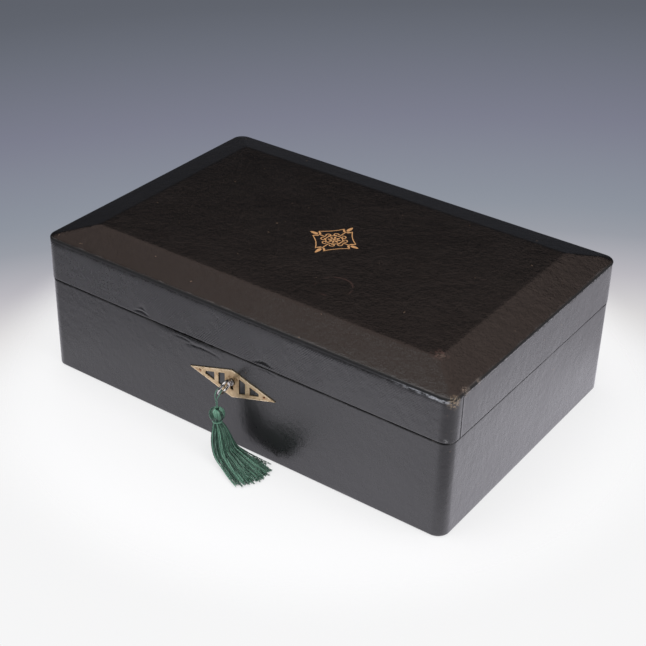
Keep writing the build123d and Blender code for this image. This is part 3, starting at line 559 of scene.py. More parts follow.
@dataclass(frozen=True)
class Cloth(Finish):
    """Woven cloth, plain, or watered as lining silk is.

    Attributes:
        name: The material's name.
        colour: The cloth's colour.
        threads: Threads in a metre.
        watered: How strong the watered figure is, from 0 to 1.
        roughness: Its roughness.
        sheen: The strength of its bloom.
    """

    name: str
    colour: Colour
    threads: float = 2400.0
    watered: float = 0.0
    roughness: float = 0.5
    sheen: float = 0.2

    def shade(self, kit: NodeKit) -> dict:
        """The sockets of the cloth."""
        x, y, z = kit.axes()
        turns = 2.0 * math.pi * self.threads
        warp = (x * turns).math("SINE") + (z * turns).math("SINE")
        weft = (y * turns).math("SINE")
        weave = (warp * weft) * 0.25 + 0.5
        figure = kit.noise(120.0, 2.0, 0.5, (0.35, 1.0, 1.0), warp=1.6)
        bands = ((figure * 34.0).math("SINE") * 0.5 + 0.5) * self.watered
        slub = kit.noise(1500.0, 2.0, 0.6, (0.05, 1.0, 1.0))
        light = tuple(min(1.0, part * 1.55) for part in self.colour)
        base = kit.mix((bands * 0.6 + slub * 0.4).least(1.0), self.colour, light)
        rough = bands * -0.14 + slub * 0.1 + self.roughness
        return {"Base Color": base, "Roughness": rough, "Sheen Weight": self.sheen, "Sheen Roughness": 0.4,
                "Normal": kit.bump(weave + slub * 0.6, 0.00010, 0.6)}


@dataclass(frozen=True)
class Silk(Finish):
    """Green floss. Each thread's own shade comes from the piece's attribute.

    Attributes:
        name: The material's name.
        dark: The darkest thread.
        light: The lightest thread.
    """

    name: str = "green_silk"
    dark: Colour = (0.004, 0.024, 0.014)
    light: Colour = (0.190, 0.400, 0.290)

    def shade(self, kit: NodeKit) -> dict:
        """The sockets of the silk."""
        own = kit.node("ShaderNodeAttribute", {"attribute_name": Threads.SHADE})[2]
        slubs = kit.noise(1900.0, 2.0, 0.6)
        share = (own * 0.9 + slubs * 0.3 - 0.10).least(1.0).most(0.0)
        base = kit.mix(share, self.dark, self.light)
        return {"Base Color": base, "Roughness": 0.36, "Specular IOR Level": 0.5, "Sheen Weight": 0.12,
                "Sheen Roughness": 0.35, "Normal": kit.bump(slubs, 0.00010, 0.6)}


@dataclass(frozen=True)
class Gilt(Finish):
    """Gold leaf tooled into leather, rubbed through in places."""

    name: str = "gilt"

    def shade(self, kit: NodeKit) -> dict:
        """The sockets of the gilding."""
        clouds = kit.noise(520.0, 3.0, 0.6)
        specks = kit.noise(2600.0, 2.0, 0.6)
        bare = (clouds.step(0.56, 0.68) * 0.7 + specks.step(0.60, 0.72) * 0.6).least(1.0)
        base = kit.mix(clouds, (0.44, 0.22, 0.085), (0.60, 0.34, 0.15))
        base = kit.mix(bare, base, (0.05, 0.03, 0.02))
        return {"Base Color": base, "Metallic": 0.35 - bare * 0.3, "Roughness": 0.46 + specks * 0.2,
                "Normal": kit.bump(specks, 0.00005, 0.5)}


OCHRE, TAN, RED_BROWN = (0.22, 0.165, 0.110), (0.26, 0.20, 0.16), (0.050, 0.026, 0.022)
PALE, BLACK = (0.30, 0.30, 0.31), (0.0015, 0.0015, 0.0016)
CORNER_MARKS = (
    Mark((0.2010, -0.1288, 0.1245), 0.0068, OCHRE),
    Mark((0.2027, -0.1150, 0.1277), 0.0056, TAN, 0.45, 900.0),
    Mark((0.2030, -0.0978, 0.1272), 0.0036, TAN, 0.45, 900.0),
)
BODY_LEATHER = BlackLeather("black_leather", Grain.PLAIN, marks=tuple(
    Mark(middle, 0.0012, BLACK, broken=0)
    for middle in ((0.0192, -0.1335, 0.0852), (0.1680, -0.1335, 0.0703), (0.2030, -0.0322, 0.0774))
))
SIDE_LEATHER = BlackLeather("straight_grain_leather", Grain.STRAIGHT, edges=(0.0888, 0.1252), marks=(
    *CORNER_MARKS,
    Mark((0.0415, -0.1340, 0.0926), 0.0012, BLACK, broken=0),
    Mark((0.2035, 0.0167, 0.1142), 0.0012, BLACK, broken=0),
    Mark((0.1987, -0.1321, 0.0912), 0.0026, PALE, 0.6, 1100.0),
))
TOP_LEATHER = BlackLeather("grained_leather", Grain.DULL, (0.0021, 0.0019, 0.0019), 0.18, (0.1283,), 0.0012, (
    *CORNER_MARKS,
    Mark((0.1680, -0.0962, 0.1366), 0.0090, RED_BROWN, 0.6, 420.0),
    Mark((0.1690, -0.0975, 0.1366), 0.0050, TAN, 0.14, 1300.0),
    # Painted highlight: a faint reddish ring on the lid's top stands in for a reflection.
    Mark((0.0490, -0.0640, 0.1366), 0.0162, RED_BROWN, 0.55, 55.0, 0.0150),
))
ESCUTCHEON_BRASS = WornBrass()
PIN_BRASS = WorkedMetal("pin_brass", (0.34, 0.17, 0.09), (0.13, 0.055, 0.035), 0.36, stained=0.8)
LOCK_BRASS = WorkedMetal("lock_brass", (0.76, 0.58, 0.30), (0.42, 0.26, 0.11), 0.27)
HINGE_BRASS = WorkedMetal("hinge_brass", (0.70, 0.53, 0.28), (0.34, 0.20, 0.09), 0.33, stained=0.7)
STEEL = WorkedMetal("steel", (0.52, 0.52, 0.53), (0.22, 0.20, 0.19), 0.3)
NICKEL = WorkedMetal("nickel", (0.46, 0.44, 0.43), (0.10, 0.085, 0.085), 0.20, 350.0, 0.20)
PINE = Pine()
LINING_SILK = Cloth("lining_cloth", (0.020, 0.085, 0.050), 2600.0, 0.8, 0.42, 0.3)
PAD_SILK = Cloth("pad_cloth", (0.024, 0.095, 0.056), 2600.0, 0.35, 0.40, 0.35)
BASE_CLOTH = Cloth("base_cloth", (0.022, 0.021, 0.022), 1700.0, 0.0, 0.7, 0.1)
SILK = Silk()
GILT = Gilt()


# Mesh building

def placed(name: str, data: bpy.types.ID) -> Piece:
    """Makes and links an object of a mesh, curve, lamp or camera, and returns it."""
    made = bpy.data.objects.new(name, data)
    bpy.context.scene.collection.objects.link(made)
    return made


def shift(form: Form, by: Sequence[float], verts: Sequence[bmesh.types.BMVert] | None = None) -> None:
    """Moves a form, or some of its points."""
    bmesh.ops.translate(form, vec=by, verts=verts or form.verts)


def turn(form: Form, angle: float, axis: str, verts: Sequence[bmesh.types.BMVert] | None = None) -> None:
    """Turns a form, or some of its points, by an angle in degrees about an axis."""
    matrix = Matrix.Rotation(math.radians(angle), 3, axis)
    bmesh.ops.rotate(form, cent=(0, 0, 0), matrix=matrix, verts=verts or form.verts)


def mesh_of(name: str, form: Form) -> bpy.types.Mesh:
    """Turns a form drawn in millimetres into a mesh in metres, frees the form and returns the mesh."""
    bmesh.ops.scale(form, vec=(MM, MM, MM), verts=form.verts)
    data = bpy.data.meshes.new(name)
    form.to_mesh(data)
    form.free()
    return data


def evaluated(piece: Piece) -> bpy.types.Mesh:
    """Returns a mesh of an object as its modifiers or its curve shape it."""
    bpy.context.view_layer.update()
    return bpy.data.meshes.new_from_object(piece.evaluated_get(bpy.context.evaluated_depsgraph_get()))


def applied(piece: Piece, finish: Finish) -> None:
    """Makes a piece's modified mesh its own, and dresses it in its finish."""
    result = evaluated(piece)
    piece.modifiers.clear()
    old = piece.data
    piece.data = result
    bpy.data.meshes.remove(old)
    finish.dress(piece)


def mesh_of_curve(curve: bpy.types.Curve) -> bpy.types.Mesh:
    """Returns a mesh of a curve."""
    holder = placed(curve.name + "_course", curve)
    data = evaluated(holder)
    bpy.data.objects.remove(holder)
    return data


def piece_of(name: str, source: Form | bpy.types.Mesh, finish: Finish, body: str) -> Piece:
    """Makes and links a smooth, dressed piece that rides on a body.

    Args:
        name: The piece's name.
        source: Its form in millimetres, which is freed, or its mesh in metres.
        finish: Its finish.
        body: The body that it rides on.

    Returns:
        The piece.
    """
    data = mesh_of(name, source) if isinstance(source, Form) else source
    for face in data.polygons:
        face.use_smooth = True
    made = placed(name, data)
    finish.dress(made)
    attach(made, body)
    return made


def sharpen(piece: Piece, angle: float) -> None:
    """Makes the faces of a piece shade flat beside edges sharper than an angle in degrees."""
    form = bmesh.new()
    form.from_mesh(piece.data)
    for edge in form.edges:
        edge.smooth = edge.calc_face_angle(0.0) < math.radians(angle)
    form.to_mesh(piece.data)
    form.free()


def sharp_edges(form: Form, angle: float) -> list[bmesh.types.BMEdge]:
    """The edges between two faces that meet at more than an angle in radians."""
    return [edge for edge in form.edges if edge.calc_face_angle(0.0) > angle]


def bevelled(form: Form, edges: Sequence[bmesh.types.BMEdge], width: float, segments: int) -> None:
    """Breaks edges of a form.

    Args:
        form: The form.
        edges: Its edges that are broken.
        width: The width of the break.
        segments: The faces across it.
    """
    bmesh.ops.bevel(form, geom=edges, offset=width, offset_type="OFFSET", affect="EDGES", segments=segments,
                    profile=0.5, material=-1, clamp_overlap=True)


def thickened(form: Form, by: tuple[float, float, float]) -> None:
    """Gives a flat form thickness: a copy of its faces is moved away, and walls join the two."""
    thick = bmesh.ops.extrude_face_region(form, geom=list(form.faces))
    moved = [item for item in thick["geom"] if isinstance(item, bmesh.types.BMVert)]
    shift(form, by, moved)


def prism(form: Form, near: float, far: float, height: float) -> None:
    """Stands a flat form up facing the front and gives it thickness.

    Args:
        form: The flat form, drawn about its own middle.
        near: Where its front face goes, across the box.
        far: Where its back face goes.
        height: The height of its middle.
    """
    turn(form, 90, "X")
    thickened(form, (0, far - near, 0))
    shift(form, (0, near, height))
    bmesh.ops.recalc_face_normals(form, faces=form.faces)


@dataclass(frozen=True)
class Outline:
    """A rectangle with rounded corners, walked anticlockwise from the middle of its front.

    Attributes:
        half_x: Half its width.
        half_y: Half its depth.
        radius: The radius of its corners.
    """

    half_x: float
    half_y: float
    radius: float

    def _runs(self) -> list[Stretch]:
        """Each run's length, start, direction and outward direction. A corner has no direction."""
        x, y, r = self.half_x, self.half_y, self.radius
        quarter = r * math.pi / 2
        none = Vector((0, 0))
        front, right, rear, left = Vector((0, -1)), Vector((1, 0)), Vector((0, 1)), Vector((-1, 0))
        return [
            (x - r, Vector((0, -y)), right, front),
            (quarter, Vector((x - r, r - y)), none, front),
            (2 * (y - r), Vector((x, r - y)), rear, right),
            (quarter, Vector((x - r, y - r)), none, right),
            (2 * (x - r), Vector((x - r, y)), left, rear),
            (quarter, Vector((r - x, y - r)), none, rear),
            (2 * (y - r), Vector((-x, y - r)), front, left),
            (quarter, Vector((r - x, r - y)), none, left),
            (x - r, Vector((r - x, -y)), right, front),
        ]

    def stations(self, pitch: Callable[[int], float], extra: Iterable[float] = ()) -> list[Station]:
        """Points round the outline with their outward directions.

        Args:
            pitch: The spacing wanted on each run, by its number.
            extra: Further places, as distances from the start.

        Returns:
            The points, the last of which meets the first.
        """
        walked = 0.0
        places = set(extra)
        runs = self._runs()
        for number, (length, _, _, _) in enumerate(runs):
            steps = max(1, round(length / pitch(number)))
            places.update(walked + length * step / steps for step in range(steps))
            walked += length
        places.add(walked)
        return [self._at(place, runs) for place in sorted(places)]

    def _at(self, place: float, runs: Sequence[Stretch]) -> Station:
        """The point and outward direction at a distance from the start."""
        for length, start, along, out in runs:
            if place <= length + 1e-9 or (length, start, along, out) == runs[-1]:
                if along.length:
                    return start + along * place, out
                turned = Matrix.Rotation(place / self.radius, 2) @ out
                return start + turned * self.radius, turned
            place -= length
        return runs[0][1], runs[0][3]

    def inset(self, point: Vector, out: Vector, amount: float) -> Vector:
        """Moves a point of the outline inwards, on to the smaller rectangle.

        Args:
            point: The point on the outline.
            out: Its outward direction.
            amount: How far inwards.

        Returns:
            The moved point.
        """
        moved = point - out * min(amount, self.radius)
        if amount <= self.radius:
            return moved
        limit_x = max(self.half_x - amount, 0.0)
        limit_y = max(self.half_y - amount, 0.0)
        return Vector((max(-limit_x, min(limit_x, moved.x)), max(-limit_y, min(limit_y, moved.y))))


def wrapped(outline: Outline, stations: Sequence[Station], profile: Rows, closed: bool, relief: Relief) -> Form:
    """Wraps a profile round an outline, from a flat grid.

    Args:
        outline: The outline seen from above.
        stations: The points along it.
        profile: Inset and height of each row, in order, the outside face to the left of its direction.
        closed: Whether the last row joins the first.
        relief: Moves a point, from its place, its outward direction and its row.

    Returns:
        The closed form.
    """
    rows = [*profile, profile[0]] if closed else list(profile)
    columns = len(stations)
    form = bmesh.new()
    bmesh.ops.create_grid(form, x_segments=columns - 1, y_segments=len(rows) - 1, size=1.0)
    for vert in form.verts:
        column = round((vert.co.x + 1) / 2 * (columns - 1))
        row = round((vert.co.y + 1) / 2 * (len(rows) - 1))
        point, out = stations[column]
        inset, height = rows[row]
        flat = outline.inset(point, out, inset)
        place = Vector((flat.x, flat.y, height))
        vert.co = relief(place, Vector((out.x, out.y, 0)), row % len(profile))
    bmesh.ops.remove_doubles(form, verts=form.verts, dist=0.0005)
    bmesh.ops.dissolve_degenerate(form, dist=0.0005, edges=form.edges)
    bmesh.ops.recalc_face_normals(form, faces=form.faces)
    return form


def arc(centre: tuple[float, float], radius: float, start: float, end: float, steps: int) -> Rows:
    """Points on an arc in the plane of a profile.

    Args:
        centre: Its centre.
        radius: Its radius.
        start: Where it starts, in degrees from the inward direction.
        end: Where it ends.
        steps: Points less one.

    Returns:
        The points.
    """
    angles = [math.radians(start + (end - start) * step / steps) for step in range(steps + 1)]
    return [(centre[0] + radius * math.cos(angle), centre[1] + radius * math.sin(angle)) for angle in angles]


def run(start: tuple[float, float], end: tuple[float, float], pitch: float) -> Rows:
    """Points between two points of a profile, neither of them included.

    Args:
        start: The first point.
        end: The last point.
        pitch: The spacing wanted.

    Returns:
        The points.
    """
    steps = max(1, round(math.dist(start, end) / pitch))
    return [(start[0] + (end[0] - start[0]) * step / steps, start[1] + (end[1] - start[1]) * step / steps)
            for step in range(1, steps)]


def direction(angle: float) -> Vector:
    """The flat direction at an angle in radians."""
    return Vector((math.cos(angle), math.sin(angle)))


def box_form(low: Sequence[float], high: Sequence[float]) -> Form:
    """A block between two corners, in millimetres."""
    form = bmesh.new()
    bmesh.ops.create_cube(form, size=1.0)
    size = [top - base for base, top in zip(low, high)]
    middle = [(top + base) / 2 for base, top in zip(low, high)]
    bmesh.ops.scale(form, vec=size, verts=form.verts)
    shift(form, middle)
    return form


def cut(piece: Piece, cutters: Iterable[Form], finish: Finish) -> None:
    """Cuts forms drawn in millimetres out of a piece.

    Args:
        piece: The piece, whose mesh is changed.
        cutters: The forms. They are freed.
        finish: The piece's finish.
    """
    tools = []
    for number, form in enumerate(cutters):
        name = f"cutter_{number}"
        tool = placed(name, mesh_of(name, form))
        modifier = piece.modifiers.new(tool.name, "BOOLEAN")
        modifier.operation = "DIFFERENCE"
        modifier.solver = "EXACT"
        modifier.object = tool
        tools.append(tool)
    applied(piece, finish)
    for tool in tools:
        bpy.data.meshes.remove(tool.data)


# The case

@dataclass(frozen=True)
class Crease:
    """A bowed wrinkle in the leather of the front, in millimetres.

    Attributes:
        x0: Where it starts, across.
        z0: The height where it starts.
        x1: Where it ends, across.
        z1: The height where it ends.
        sunk: How deep it is.
        bow: How far its middle is off the straight line.
        half: Half its width.
        overrun: The share of its length over which it dies away past each end.
    """

    x0: float
    z0: float
    x1: float
    z1: float
    sunk: float
    bow: float = 1.6
    half: float = 0.9
    overrun: float = 0.15

    def depth(self, place: Vector) -> float:
        """How deep it is at a place."""
        run_x, run_z = self.x1 - self.x0, self.z1 - self.z0
        length = math.hypot(run_x, run_z)
        from_x, from_z = place.x - self.x0, place.z - self.z0
        along = (from_x * run_x + from_z * run_z) / length ** 2
        if not -self.overrun < along < 1 + self.overrun:
            return 0.0
        side = (from_x * -run_z + from_z * run_x) / length - self.bow * math.sin(math.pi * along)
        fade = max(0.0, math.sin(math.pi * (along + self.overrun) / (1 + 2 * self.overrun)))
        return self.sunk * fade * math.exp(-(side / self.half) ** 2)


@dataclass(frozen=True)
class Shrinkage:
    """How far the leather of the front has shrunk back from the parting line, in millimetres.

    Attributes:
        middle: Where the line stands widest open, across.
        half: How far to each side that reaches.
        waves: Waves of the ragged edge in a millimetre.
        seed: Where the ragged edge is read.
        least: The least that the edge is back.
        ragged: What the ragged edge adds.
        opened: What it adds further where the line is widest.
    """

    middle: float
    half: float
    waves: float
    seed: float
    least: float
    ragged: float
    opened: float

    def widest(self, x: float) -> float:
        """How near a place is to where the line is widest, from 0 to 1."""
        return max(0.0, 1 - abs(x - self.middle) / self.half)

    def raggedness(self, x: float) -> float:
        """The ragged edge at a place, from 0 to 1."""
        return 0.5 + 0.5 * noise.noise(Vector((x * self.waves, self.seed, 0)))

    def back(self, x: float) -> float:
        """How far the edge is back at a place."""
        return self.least + (self.ragged + self.opened * self.widest(x)) * self.raggedness(x)


@dataclass
class Case:
    """The leather of the body and of the lid's sides.

    Attributes hold the case's sizes in millimetres, as the CAD model has them.
    """

    width: float = 406.0
    depth: float = 267.0
    body_rim: float = 88.25
    lid_rim: float = 88.75
    apron_bottom: float = 125.62
    corner: float = 10.5
    overhang: float = 0.5
    leather: float = 1.2
    board: float = 9.5
    base: float = 0.6
    base_turn_in: float = 15.0
    rim_turn: float = 10.0
    rim_round: float = 0.8
    lid_rim_round: float = 0.7
    inner_round: float = 0.8
    rim_zone: float = 6.0
    plate_half: float = 36.0
    selvedge_front: float = -131.1
    selvedge_back: float = -118.0
    hinge_x: float = 133.0
    recess_half: float = 25.1
    recess_front: float = 124.8
    hinge_leaf: float = 3.2
    parting: float = 88.5
    key_height: float = 62.6
    keyhole_radius: float = 3.0
    keyhole_slot: float = 3.2
    keyhole_drop: float = 7.5
    seam_depth: float = 0.6
    seam_back: float = 3.25
    seam_half: float = 0.28
    seam_ridge: float = 0.18
    ridge_back: float = 0.9
    ridge_half: float = 0.5
    body_hollow: float = 0.22
    lid_hollow: float = 0.20
    body_shrinkage: Shrinkage = Shrinkage(-48.0, 52.0, 0.16, 3.0, 0.22, 0.35, 1.5)
    lid_shrinkage: Shrinkage = Shrinkage(-44.0, 50.0, 0.14, 8.0, 0.14, 0.15, 0.7)
    body_creases: tuple[Crease, ...] = (
        Crease(-60.0, 84.0, -38.0, 81.0, 0.25), Crease(-48.0, 80.2, -14.0, 80.4, 0.34),
        Crease(25.0, 86.0, 44.0, 85.0, 0.22),
    )
    lid_creases: tuple[Crease, ...] = (
        Crease(-103.0, 92.0, -88.0, 91.3, 0.55), Crease(-99.5, 95.6, -91.0, 95.0, 0.45),
        Crease(22.0, 91.2, 40.0, 92.4, 0.75),
    )

    @staticmethod
    def _spacing(number: int) -> float:
        """The pitch of the points on each run of the outline, close on the front and round the corners."""
        return {0: 1.6, 8: 1.2}.get(number, 1.3 if number % 2 else 4.0)

    def _body_relief(self, place: Vector, out: Vector, row: int) -> Vector:
        """Sinks a point of the body's leather where it is hollow, wrinkled or shrunk back from the line.

        Args:
            place: The point.
            out: Its outward direction.
            row: Its row in the section.

        Returns:
            The moved point.
        """
        if place.z < self.base + 0.6 or self.hidden(place, self.width / 2, self.depth / 2):
            return place
        sink = self.body_hollow * (0.5 + 0.5 * noise.noise(place * 0.022))
        if out.y < -FACING:
            sink += sum(crease.depth(place) for crease in self.body_creases)
            near = max(0.0, (place.z - self.body_rim + self.rim_zone) / self.rim_zone) ** 2
            sink += near * self.body_shrinkage.widest(place.x) * 0.5
            place = place - Vector((0, 0, near * self.body_shrinkage.back(place.x)))
        return place - out * sink

    @staticmethod
    def hidden(place: Vector, half_x: float, half_y: float) -> bool:
        """Whether a point is on the leather's inner side, against the wood."""
        return abs(place.x) < half_x - 1.15 and abs(place.y) < half_y - 1.15

    def _lid_relief(self, place: Vector, out: Vector, row: int) -> Vector:
        """Sinks a point of the lid's side leather, and cuts the seam by the front right corner.

        Args:
            place: The point.
            out: Its outward direction.
            row: Its row in the section.

        Returns:
            The moved point.
        """
        if self.hidden(place, self.width / 2 + self.overhang, self.depth / 2 + self.overhang):
            return place
        sink = self.lid_hollow * (0.5 + 0.5 * noise.noise(place * 0.025 + Vector((9, 0, 0))))
        if out.x > FACING:
            back = place.y - (self.corner - self.depth / 2 + self.seam_back)
            sink += self.seam_depth * math.exp(-(back / self.seam_half) ** 2)
            sink -= self.seam_ridge * math.exp(-((back - self.ridge_back) / self.ridge_half) ** 2)
        if out.y < -FACING:
            sink += sum(crease.depth(place) for crease in self.lid_creases)
            near = max(0.0, 1 - (place.z - self.lid_rim) / self.rim_zone) ** 2
            place = place + Vector((0, 0, near * self.lid_shrinkage.back(place.x)))
            top = max(0.0, 1 - (self.apron_bottom - place.z) / 2.2)
            sink += top * (0.20 + 0.25 * self.lid_shrinkage.raggedness(place.x))
        return place - out * max(sink, 0.0)

    def _turned(self, rim: float, down: float, inner: float, outer: float) -> Rows:
        """The rim of a cover: from its inner end over the edge to its outer face, round over and back.

        Args:
            rim: The height of the edge.
            down: 1 where the cover hangs below its edge, -1 where it stands above.
            inner: The inset of the turned part's face.
            outer: The radius of the outer edge.

        Returns:
            Inset and height of each row.
        """
        end = rim - down * self.rim_turn
        r = self.inner_round
        inside = [(inner, end), *run((inner, end), (inner, rim - down * r), 2.5)]
        round_in = [(x, rim - down * r + down * y) for x, y in arc((inner - r, 0.0), r, 0, 90, 3)]
        top = run((inner - r, rim), (outer, rim), 2.4)
        round_out = [(x, rim - down * outer + down * y) for x, y in arc((outer, 0.0), outer, 90, 180, 4)]
        return [*inside, *round_in, *top, *round_out]

    def _body_profile(self) -> Rows:
        """The section of the body's leather."""
        inner = self.leather + self.board + self.leather
        low = self.body_rim - 9.0
        side = [*run((0, self.body_rim - self.rim_round), (0, low), 0.8), (0, low),
                *run((0, low), (0, self.base + 1.0), 2.4)]
        foot = [(x, self.base + 1.0 + y) for x, y in arc((1.0, 0.0), 1.0, 180, 270, 3)]
        under = [*run((1.0, self.base), (self.base_turn_in, self.base), 3.0), (self.base_turn_in, self.base)]
        top = self.base + self.leather
        under_rim = self.body_rim - self.leather
        wood = [(self.base_turn_in, top), (self.leather, top), (self.leather, under_rim),
                (inner - self.leather, under_rim), (inner - self.leather, self.body_rim - self.rim_turn)]
        return [*self._turned(self.body_rim, 1.0, inner, self.rim_round), *side, *foot, *under, *wood]

    def _lid_profile(self) -> Rows:
        """The section of the leather of the lid's sides."""
        inner = self.overhang + self.leather + self.board + self.leather
        high = self.lid_rim + 8.0
        side = [*run((0, self.lid_rim + self.lid_rim_round), (0, high), 0.8), (0, high),
                *run((0, high), (0, self.apron_bottom - 2.4), 2.4),
                (0, self.apron_bottom - 2.4), (0, self.apron_bottom - 1.2), (0, self.apron_bottom)]
        over_rim = self.lid_rim + self.leather
        wood = [(self.leather, self.apron_bottom), (self.leather, over_rim),
                (inner - self.leather, over_rim), (inner - self.leather, self.lid_rim + self.rim_turn)]
        return [*self._turned(self.lid_rim, -1.0, inner, self.lid_rim_round), *side, *wood]

    def _recesses(self, up: float) -> list[Form]:
        """The cutters of the two hinge recesses, below (1) or above (-1) the parting line."""
        back = self.depth / 2 + 3.0
        levels = sorted((self.parting + up * 0.5, self.parting - up * self.hinge_leaf))
        return [box_form((side * self.hinge_x - self.recess_half, self.recess_front, levels[0]),
                         (side * self.hinge_x + self.recess_half, back, levels[1])) for side in (-1, 1)]

    def _selvedge(self, levels: tuple[float, float]) -> Form:
        """The cutter of the gap in the turned leather where the lock's or link's plate lies."""
        return box_form((-self.plate_half, self.selvedge_front, levels[0]),
                        (self.plate_half, self.selvedge_back, levels[1]))

    def keyhole(self) -> Form:
        """The cutter of the keyhole."""
        form = bmesh.new()
        bmesh.ops.create_circle(form, cap_ends=True, segments=24, radius=self.keyhole_radius)
        for vert in form.verts:
            if vert.co.y < -2.7:
                vert.co = Vector((math.copysign(self.keyhole_slot / 2, vert.co.x), -self.keyhole_drop, 0))
        bmesh.ops.remove_doubles(form, verts=form.verts, dist=0.01)
        front = -self.depth / 2
        prism(form, front - 3.0, front + 5.0, self.key_height)
        return form

    def build_body(self) -> Piece:
        """Builds the body's leather and returns it."""
        outline = Outline(self.width / 2, self.depth / 2, self.corner)
        stations = outline.stations(self._spacing)
        form = wrapped(outline, stations, self._body_profile(), True, self._body_relief)
        made = piece_of("leather_of_body", form, BODY_LEATHER, "box")
        cut(made, [self.keyhole(), self._selvedge((70.0, 95.0)), *self._recesses(1.0)], BODY_LEATHER)
        sharpen(made, 40.0)
        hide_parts("body_leather")
        return made

    def build_lid_sides(self) -> Piece:
        """Builds the leather of the lid's sides and returns it."""
        over = self.overhang
        outline = Outline(self.width / 2 + over, self.depth / 2 + over, self.corner + over)
        seam = outline.half_x - outline.radius + outline.radius * math.pi / 2
        extra = [seam + self.seam_back + step * 0.14 for step in range(-5, 14)]
        stations = outline.stations(self._spacing, extra)
        form = wrapped(outline, stations, self._lid_profile(), True, self._lid_relief)
        made = piece_of("leather_of_lid_sides", form, SIDE_LEATHER, "lid")
        cut(made, [self._selvedge((80.0, 110.0)), *self._recesses(-1.0)], SIDE_LEATHER)
        sharpen(made, 40.0)
        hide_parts("lid_side_leather")
        return made


@dataclass
class LidTop:
    """The leather of the lid's top, drawn over the field, its mitred bevels and the edge."""

    half_x: float = 203.5
    half_y: float = 134.0
    corner: float = 11.0
    apron_bottom: float = 125.62
    edge: float = 128.6
    top: float = 136.8
    bevel: float = 33.2
    arris: float = 1.6
    edge_round: float = 1.9
    leather: float = 1.2

    def _outside(self) -> Rows:
        """The outside of the section, from the middle out and down to the ragged lower edge."""
        slope = (self.top - self.edge) / self.bevel
        turn = math.degrees(math.atan(slope))
        soft, r = self.arris, self.edge_round
        arris = [(self.bevel + soft, self.top), (self.bevel + soft * 0.4, self.top - soft * slope * 0.07),
                 (self.bevel - soft * 0.2, self.top - soft * slope * 0.32),
                 (self.bevel - soft, self.top - soft * slope)]
        roll = arc((r, self.edge + slope * r - r / math.cos(math.radians(turn))), r, 90 + turn, 180, 6)
        return [(self.half_y, self.top), *run((self.half_y, self.top), (self.bevel + soft, self.top), 3.4),
                *arris, *run(arris[-1], roll[0], 2.8), *roll, *run(roll[-1], (0, self.apron_bottom), 0.7),
                (0.05, self.apron_bottom + 0.15), (0.3, self.apron_bottom)]

    def _inside(self) -> Rows:
        """The inside of the section, against the wood, from the lower edge up to the middle."""
        t = self.leather
        return [(t, self.apron_bottom), (t, self.edge - t), (self.bevel, self.top - t),
                (self.half_y, self.top - t)]

    def _relief(self, place: Vector, inner: bool) -> Vector:
        """Gives the top its slight unevenness, and the apron its ragged lower edge."""
        if place.z < self.apron_bottom + 0.4:
            ragged = noise.noise(Vector((place.x * 0.12, place.y * 0.12, 2.0)))
            return place + Vector((0, 0, max(0.0, 0.35 * ragged)))
        return place if inner else place + Vector((0, 0, self.unevenness(place)))

    @staticmethod
    def unevenness(place: Vector) -> float:
        """How far the top is off its drawn height at a place."""
        return 0.16 * noise.noise(place * 0.016) - 0.16

    def build(self) -> Piece:
        """Builds the leather and returns it."""
        outline = Outline(self.half_x, self.half_y, self.corner)
        stations = outline.stations(lambda number: 1.2 if number % 2 else 3.0)
        outside = self._outside()
        form = wrapped(outline, stations, outside + self._inside(), False,
                       lambda place, out, row: self._relief(place, row >= len(outside)))
        made = piece_of("leather_of_lid_top", form, TOP_LEATHER, "lid")
        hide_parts("lid_top_leather")
        return made


